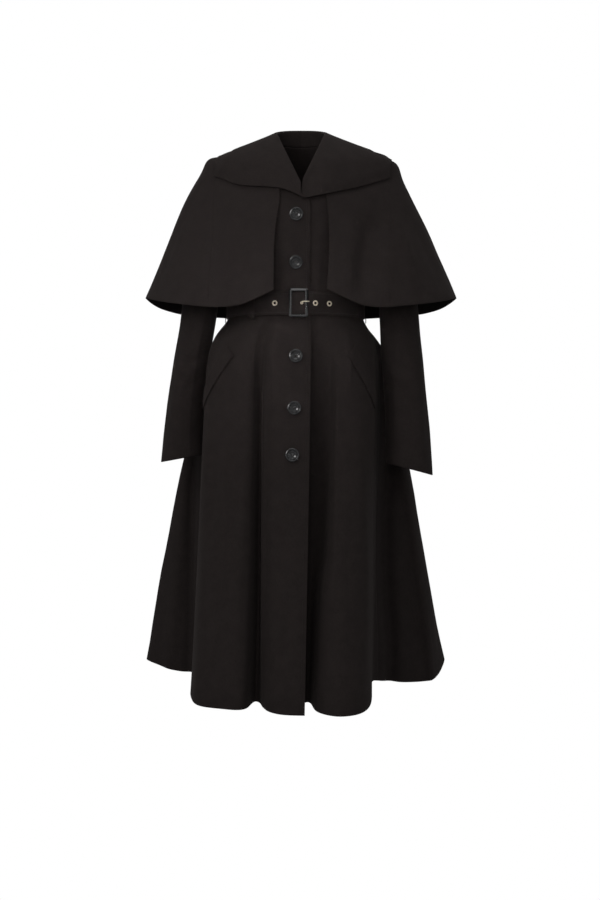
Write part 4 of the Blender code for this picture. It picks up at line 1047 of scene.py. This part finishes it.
def stitch_mesh(path, normals, length, gap, radius):
    """Points and faces of a row of stitches that lie along a path on the cloth."""
    path, normals = np.array(path), np.array(normals)
    run = np.concatenate(([0.0], np.cumsum(np.linalg.norm(np.diff(path, axis=0), axis=1))))

    def at(distance, rows):
        return np.array([np.interp(distance, run, column) for column in rows.T])

    points, faces = [], []
    for place in np.arange(gap, run[-1] - length, length + gap):
        first, last = at(place, path), at(place + length, path)
        upward = at(place + 0.5 * length, normals)
        along = (last - first) / np.linalg.norm(last - first)
        upward = upward - along * (upward @ along)
        upward /= np.linalg.norm(upward)
        across = np.cross(along, upward)
        start = len(points)
        points.append(first)
        for share in STITCH_ENDS:
            spot = first + share * (last - first) + STITCH_LIFT * radius * upward
            for side in range(STITCH_SIDES):
                turn = math.tau * side / STITCH_SIDES
                out = math.cos(turn) * across + STITCH_FLATNESS * math.sin(turn) * upward
                points.append(spot + radius * out)
        points.append(last)
        end = start + 1 + 2 * STITCH_SIDES
        for side in range(STITCH_SIDES):
            ahead = (side + 1) % STITCH_SIDES
            near, near_ahead = start + 1 + side, start + 1 + ahead
            faces.append((start, near, near_ahead))
            faces.append((near, near + STITCH_SIDES, near_ahead + STITCH_SIDES, near_ahead))
            faces.append((end, near_ahead + STITCH_SIDES, near + STITCH_SIDES))
    return points, faces


def stitched_piece(name, rows):
    """One piece of thread from several rows, each the points and faces of its stitches."""
    points, faces = [], []
    for more, more_faces in rows:
        faces += [tuple(len(points) + index for index in face) for face in more_faces]
        points += more
    belongs(new_piece(name, points, faces, thread_material()), "wool")


def front_hit(tree, x, z):
    """Where a ray from the front meets a piece, and the way its face looks there."""
    return tree.ray_cast(Vector((x, -RAY_START, z)), Vector((0.0, 1.0, 0.0)), RAY_START)[:2]


def front_edge_path(tree, high_z, low_z, inset):
    """A line on the right front, an inset in from its closing edge, found by rays from the front."""
    hits = []
    for z in np.arange(high_z, low_z, -PATH_STEP):
        inside, outside = EDGE_SEARCH
        for _ in range(EDGE_HALVINGS):
            middle = 0.5 * (inside + outside)
            if front_hit(tree, middle, z)[0]:
                inside = middle
            else:
                outside = middle
        hits.append(front_hit(tree, inside - inset, z))
    return hits


def belt_path(tree, z):
    """A line round the belt at a height, found by rays from all round."""
    centre = 0.5 * sum(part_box("belt_strap"), Vector())
    hits = []
    for turn in np.radians(np.arange(0.0, 361.0, PATH_TURN)):
        way = Vector((-math.sin(turn), -math.cos(turn), 0.0))
        origin = Vector((centre.x, 0.0, z)) + RAY_START * way
        hits.append(tree.ray_cast(origin, -way, RAY_START)[:2])
    return hits


def topstitch(name, paths):
    """Sew stitches along paths, each a list of places on the cloth with the way its face looks there."""
    sewing = bpy.context.scene.coat_sewing
    sizes = (sewing.stitch_length, sewing.stitch_gap, sewing.thread_radius)
    rows = []
    for path in paths:
        points, normals = zip(*((point, normal) for point, normal in path if point))
        rows.append(stitch_mesh(points, normals, *sizes))
    stitched_piece(name, rows)


class COAT_OT_topstitching(bpy.types.Operator):
    """Sew the topstitching along the closing edge and the belt's edges"""

    bl_idname = "coat.topstitching"
    bl_label = "Topstitching"

    def execute(self, context):
        sewing = context.scene.coat_sewing
        bodice, skirt, belt = (
            search_tree(bpy.data.objects[node + "_cloth"])
            for node in ("bodice_front_right", "skirt_front_right", "belt_strap")
        )
        belt_top, belt_foot = BELT_HIGH - STITCHING_UNDER_BELT, BELT_LOW + STITCHING_UNDER_BELT
        hem_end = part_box("skirt_front_right")[0].z + STITCHING_HEM_GAP
        topstitch(
            "front_edge_stitching",
            (
                front_edge_path(bodice, STITCHING_NECK_END, belt_top, sewing.front_inset),
                front_edge_path(skirt, belt_foot, hem_end, sewing.front_inset),
            ),
        )
        heights = (BELT_HIGH - sewing.belt_inset, BELT_LOW + sewing.belt_inset)
        topstitch("belt_stitching", [belt_path(belt, z) for z in heights])
        return {"FINISHED"}


def seat_of(node):
    """The middle of a round CAD fitting's foot, and the way it faces."""
    points = points_of(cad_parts[node])
    middle = points.mean(0)
    normal = np.linalg.svd(points - middle, full_matrices=False)[2][2]
    if normal[1] > 0.0:
        normal = -normal
    foot = ((points - middle) @ normal).min()
    return Vector(middle + foot * normal), Vector(normal)


def stand_at(piece, point, normal):
    """Move a piece that was modelled round Z on to a place, in its mesh."""
    turn = normal.to_track_quat("Z", "Y").to_matrix().to_4x4()
    piece.data.transform(Matrix.Translation(point) @ turn)


def select_faces(piece, wanted):
    """In edit mode, select the faces for which a test of their middle and normal holds."""
    bpy.ops.mesh.select_mode(type="FACE")
    bpy.ops.mesh.select_all(action="DESELECT")
    work = bmesh.from_edit_mesh(piece.data)
    for face in work.faces:
        if wanted(face.calc_center_median(), face.normal):
            face.select_set(True)
    work.select_flush_mode()
    bmesh.update_edit_mesh(piece.data)


def model_button():
    """One button, its foot at the origin: a raised rim, a groove, a dished disc and four sewing holes."""
    fittings = bpy.context.scene.coat_fittings
    radius = fittings.button_radius
    bpy.ops.object.select_all(action="DESELECT")
    bpy.ops.mesh.primitive_cylinder_add(
        vertices=56,
        radius=radius,
        depth=BUTTON_EDGE_HEIGHT,
        location=(0.0, 0.0, 0.5 * BUTTON_EDGE_HEIGHT),
    )
    button = active_piece("button_model", button_material())
    bpy.ops.object.transform_apply(location=True)
    bpy.ops.object.mode_set(mode="EDIT")
    select_faces(button, lambda middle, normal: normal.z < -FACING)
    bpy.ops.transform.resize(value=(BUTTON_FOOT_SHARE, BUTTON_FOOT_SHARE, 1.0))
    select_faces(button, lambda middle, normal: normal.z > FACING)
    for row in BUTTON_FACE:
        bpy.ops.mesh.inset(thickness=row.share * radius, depth=row.rise)
    bpy.ops.object.mode_set(mode="OBJECT")
    round_edges(button, width=0.0004, segments=3, degrees=24.0)
    cutters = []
    for count in range(BUTTON_HOLES):
        turn = math.tau * (count + 0.5) / BUTTON_HOLES
        bpy.ops.mesh.primitive_cylinder_add(
            vertices=16,
            radius=fittings.hole_radius,
            depth=0.02,
            location=(fittings.hole_offset * math.cos(turn), fittings.hole_offset * math.sin(turn), 0.0),
        )
        cutters.append(bpy.context.view_layer.objects.active)
    select_only(cutters[0])
    for cutter in cutters:
        cutter.select_set(True)
    bpy.ops.object.join()
    bpy.ops.object.transform_apply(location=True)
    apply_modifier(button, "BOOLEAN", operation="DIFFERENCE", object=cutters[0], solver="EXACT")
    bpy.data.objects.remove(cutters[0])
    select_only(button)
    bpy.ops.object.shade_smooth_by_angle(angle=SMOOTH_ANGLE)
    return button


class COAT_OT_buttons(bpy.types.Operator):
    """Model one button, set a copy on each place and sew it on"""

    bl_idname = "coat.buttons"
    bl_label = "Buttons"

    def execute(self, context):
        reach = BUTTON_THREAD_PLACE * context.scene.coat_fittings.hole_offset
        model = model_button()
        rows = []
        for node in BUTTON_NODES:
            point, normal = seat_of(node)
            button = model.copy()
            button.data = model.data.copy()
            button.name = button.data.name = node + "_gloss"
            context.scene.collection.objects.link(button)
            point = point - BUTTON_SINK * normal
            stand_at(button, point, normal)
            belongs(button, "button", node)
            turn = normal.to_track_quat("Z", "Y").to_matrix()
            for side in (-reach, reach):
                first, last = (
                    point + turn @ Vector((side, end * reach, BUTTON_SEWN_HEIGHT))
                    for end in (-BUTTON_THREAD_REACH, BUTTON_THREAD_REACH)
                )
                length = (last - first).length
                gap = 0.5 * (1.0 - BUTTON_THREAD_SHARE) * length
                sizes = (BUTTON_THREAD_SHARE * length, gap, BUTTON_THREAD_RADIUS)
                rows.append(stitch_mesh((first, last), (normal, normal), *sizes))
        bpy.data.objects.remove(model)
        stitched_piece("button_threads", rows)
        return {"FINISHED"}


def on_front(piece, node):
    """Turn a piece modelled face up so that it faces the front, and set it on a CAD node's back face."""
    low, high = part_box(node)
    middle = 0.5 * (low + high)
    turn = Matrix.Rotation(math.radians(90.0), 4, "X")
    piece.data.transform(Matrix.Translation((middle.x, high.y, middle.z)) @ turn)


class COAT_OT_buckle(bpy.types.Operator):
    """Model the buckle's frame, with a crest by its window, and finish its centre bar"""

    bl_idname = "coat.buckle"
    bl_label = "Buckle"

    def execute(self, context):
        bar = context.scene.coat_fittings.buckle_bar
        low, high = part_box("buckle_frame")
        width, thick, height = high - low
        bpy.ops.object.select_all(action="DESELECT")
        bpy.ops.mesh.primitive_plane_add(size=1.0)
        frame_piece = active_piece("buckle_frame_gloss", buckle_material())
        bpy.ops.object.mode_set(mode="EDIT")
        bpy.ops.mesh.select_mode(type="VERT")
        bpy.ops.mesh.select_all(action="SELECT")
        bpy.ops.transform.resize(value=(width, height, 1.0))
        bpy.ops.mesh.bevel(offset=BUCKLE_CORNER_SHARE * bar, segments=6, affect="VERTICES")
        bpy.ops.mesh.select_all(action="SELECT")
        edge_move = {"value": (0.0, 0.0, BUCKLE_EDGE_SHARE * thick)}
        bpy.ops.mesh.extrude_region_move(TRANSFORM_OT_translate=edge_move)
        bpy.ops.mesh.select_all(action="SELECT")
        bpy.ops.mesh.normals_make_consistent(inside=False)
        select_faces(frame_piece, lambda middle, normal: normal.z < -FACING)
        bpy.ops.mesh.inset(thickness=bar, depth=0.0)
        select_faces(frame_piece, lambda middle, normal: normal.z > FACING)
        for row in BUCKLE_FACE:
            bpy.ops.mesh.inset(thickness=row.share * bar, depth=row.rise * thick)
        near = BUCKLE_WINDOW_SHARE * (width - 2.0 * bar)
        select_faces(frame_piece, lambda middle, normal: middle.xy.length < near and abs(normal.z) > FACING)
        bpy.ops.mesh.bridge_edge_loops()
        bpy.ops.object.mode_set(mode="OBJECT")
        round_edges(frame_piece, width=0.0005, segments=3, degrees=14.0)
        bpy.ops.object.shade_smooth_by_angle(angle=SMOOTH_ANGLE)
        on_front(frame_piece, "buckle_frame")
        belongs(frame_piece, "buckle", "buckle_frame")
        centre_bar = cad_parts["buckle_centre_bar"]
        centre_bar.data.materials.clear()
        centre_bar.data.materials.append(buckle_material())
        return {"FINISHED"}


class COAT_OT_prong(bpy.types.Operator):
    """Bend the prong from its eyelet over the buckle's bar"""

    bl_idname = "coat.prong"
    bl_label = "Prong"

    def execute(self, context):
        radius = context.scene.coat_fittings.prong_radius
        low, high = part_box("prong")
        root = Vector((low.x + radius, high.y, low.z + radius))
        tip = Vector((high.x, low.y + radius, high.z - PRONG_TIP_DROP * radius))
        bpy.ops.object.select_all(action="DESELECT")
        bpy.ops.curve.primitive_bezier_curve_add()
        curve = context.view_layer.objects.active
        ends = curve.data.splines[0].bezier_points
        for point, place, handles in zip(ends, (root, tip), (PRONG_ROOT_HANDLES, PRONG_TIP_HANDLES)):
            point.handle_left_type = point.handle_right_type = "FREE"
            point.co = place
            point.handle_left = place + handles[0]
            point.handle_right = place + handles[1]
        ends[1].radius = PRONG_TIP_SHARE
        curve.data.resolution_u = 24
        curve.data.bevel_depth = radius
        curve.data.bevel_resolution = 5
        curve.data.use_fill_caps = True
        bpy.ops.object.convert(target="MESH")
        prong = active_piece("prong_metal", metal_material())
        round_edges(prong, width=0.0005, segments=2, degrees=50.0)
        bpy.ops.object.shade_smooth_by_angle(angle=math.radians(40.0))
        belongs(prong, "eyelet", "prong")
        return {"FINISHED"}


class COAT_OT_eyelets(bpy.types.Operator):
    """Press the eyelets into the belt, each a rolled ring round a near-black disc of painted shade in its hole
    """

    bl_idname = "coat.eyelets"
    bl_label = "Eyelets"

    def execute(self, context):
        for node in EYELET_NODES:
            point, normal = seat_of(node)
            low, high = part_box(node)
            radius = 0.5 * (high.z - low.z) * (PRONG_RING_SHARE if node == PRONG_EYELET else 1.0)
            tube = EYELET_TUBE_SHARE * radius
            bpy.ops.object.select_all(action="DESELECT")
            bpy.ops.mesh.primitive_torus_add(
                major_radius=radius - tube, minor_radius=tube, major_segments=40, minor_segments=14
            )
            ring = active_piece(node + "_metal", metal_material())
            bpy.ops.object.mode_set(mode="EDIT")
            bpy.ops.mesh.select_all(action="SELECT")
            bpy.ops.transform.resize(value=(1.0, 1.0, EYELET_FLATNESS))
            bpy.ops.object.mode_set(mode="OBJECT")
            bpy.ops.object.shade_smooth()
            # A near-black disc in the hole: painted shade in place of the hole's own shadow
            bpy.ops.mesh.primitive_circle_add(
                vertices=32,
                radius=radius - EYELET_SHADE_DISC_INSET * tube,
                fill_type="NGON",
                location=(0.0, 0.0, -EYELET_SHADE_DISC_DEPTH * tube),
            )
            active_piece(node + "_hole", shade_disc_material())
            bpy.ops.object.transform_apply(location=True)
            ring.select_set(True)
            context.view_layer.objects.active = ring
            bpy.ops.object.join()
            stand_at(ring, point - EYELET_SINK * normal, normal)
            belongs(ring, "eyelet", node)
        return {"FINISHED"}


def hang_lamp(row, power):
    """A square soft lamp that points at a place; glossy pieces mirror it or not."""
    data = bpy.data.lights.new(row.name, "AREA")
    data.shape = "SQUARE"
    data.size = row.size
    data.spread = row.spread
    data.energy = power
    data.color = row.colour
    lamp = bpy.data.objects.new(row.name, data)
    bpy.context.scene.collection.objects.link(lamp)
    lamp.location = row.place
    lamp.rotation_euler = (Vector(row.aim) - Vector(row.place)).to_track_quat("-Z", "Y").to_euler()
    lamp.visible_glossy = row.mirrored


def white_to_camera(tree, lighting, shown, ray, surface):
    """Show one shader to the camera and let another one light the coat."""
    mix = tree.nodes.new("ShaderNodeMixShader")
    tree.links.new(ray.outputs["Is Camera Ray"], mix.inputs[0])
    tree.links.new(lighting.outputs[0], mix.inputs[1])
    tree.links.new(shown.outputs[0], mix.inputs[2])
    tree.links.new(mix.outputs[0], surface)


def paper_material(colour):
    """Studio paper that the camera sees as plain white."""
    material = bpy.data.materials.new("studio_paper")
    material.use_nodes = True
    tree = material.node_tree
    paper = tree.nodes["Principled BSDF"]
    paper.inputs["Base Color"].default_value = (*colour, 1.0)
    paper.inputs["Roughness"].default_value = 0.9
    paper.inputs["Specular IOR Level"].default_value = 0.1
    glow = tree.nodes.new("ShaderNodeEmission")
    ray = tree.nodes.new("ShaderNodeLightPath")
    white_to_camera(tree, paper, glow, ray, tree.nodes["Material Output"].inputs["Surface"])
    return material


def studio_world(strength):
    """Even light from all round, darker where glossy pieces mirror it, and plain white for the camera."""
    world = bpy.data.worlds.new("studio")
    world.use_nodes = True
    tree = world.node_tree
    soft = tree.nodes["Background"]
    white = tree.nodes.new("ShaderNodeBackground")
    for background in (soft, white):
        background.inputs["Color"].default_value = (*WHITE, 1.0)
    ray = tree.nodes.new("ShaderNodeLightPath")
    dimmed = math_node(tree, "MULTIPLY", ray.outputs["Is Glossy Ray"], MIRRORED_SKY_LOSS * strength)
    tree.links.new(math_node(tree, "SUBTRACT", strength, dimmed), soft.inputs["Strength"])
    white_to_camera(tree, soft, white, ray, tree.nodes["World Output"].inputs["Surface"])
    return world


class COAT_OT_stage(bpy.types.Operator):
    """Set the camera, the pale floor and the soft studio light"""

    bl_idname = "coat.stage"
    bl_label = "Stage"

    def execute(self, context):
        stage = context.scene.coat_stage
        data = bpy.data.cameras.new("camera")
        data.lens = stage.lens
        data.sensor_width = 36.0
        camera = bpy.data.objects.new("camera", data)
        context.scene.collection.objects.link(camera)
        camera.location = (stage.camera_x, -stage.camera_distance, stage.camera_z)
        camera.rotation_euler = (math.radians(90.0), 0.0, 0.0)
        context.scene.camera = camera

        bpy.ops.object.select_all(action="DESELECT")
        bpy.ops.mesh.primitive_plane_add(size=1.0, location=(0.0, 0.0, stage.floor_z))
        floor = active_piece("floor", paper_material(stage.floor_colour))
        floor.scale = (FLOOR_WIDTH, FLOOR_WIDTH, 1.0)
        bpy.ops.object.transform_apply(location=True, scale=True)

        context.scene.world = studio_world(stage.sky)
        for row in LAMPS:
            hang_lamp(row, getattr(stage, row.name))
        context.scene.view_settings.view_transform = "Standard"
        return {"FINISHED"}


STEPS = (
    COAT_OT_stage,
    COAT_OT_bodice,
    COAT_OT_skirt,
    COAT_OT_sleeves,
    COAT_OT_cape,
    COAT_OT_collar,
    COAT_OT_belt,
    COAT_OT_topstitching,
    COAT_OT_buttons,
    COAT_OT_buckle,
    COAT_OT_prong,
    COAT_OT_eyelets,
)
GROUPS = (
    ("coat_cloth", CoatClothSettings),
    ("coat_sewing", CoatSewingSettings),
    ("coat_fittings", CoatFittingSettings),
    ("coat_stage", CoatStageSettings),
)


class COAT_PT_parts(bpy.types.Panel):
    """The coat's pieces and the sizes that a user would change"""

    bl_idname = "COAT_PT_parts"
    bl_label = "Cape coat"
    bl_space_type = "VIEW_3D"
    bl_region_type = "UI"
    bl_category = "Coat"

    def draw(self, context):
        for group_name, kind in GROUPS:
            box = self.layout.box()
            for name in kind.__annotations__:
                box.prop(getattr(context.scene, group_name), name)
        for step in STEPS:
            self.layout.operator(step.bl_idname)


def register():
    for name, group in GROUPS:
        bpy.utils.register_class(group)
        setattr(bpy.types.Scene, name, PointerProperty(type=group))
    for step in STEPS:
        bpy.utils.register_class(step)
    bpy.utils.register_class(COAT_PT_parts)


def unregister():
    bpy.utils.unregister_class(COAT_PT_parts)
    for step in reversed(STEPS):
        bpy.utils.unregister_class(step)
    for name, group in reversed(GROUPS):
        delattr(bpy.types.Scene, name)
        bpy.utils.unregister_class(group)


def main():
    register()
    for step in STEPS:
        module, name = step.bl_idname.split(".")
        getattr(getattr(bpy.ops, module), name)()


if __name__ == "__main__":
    main()
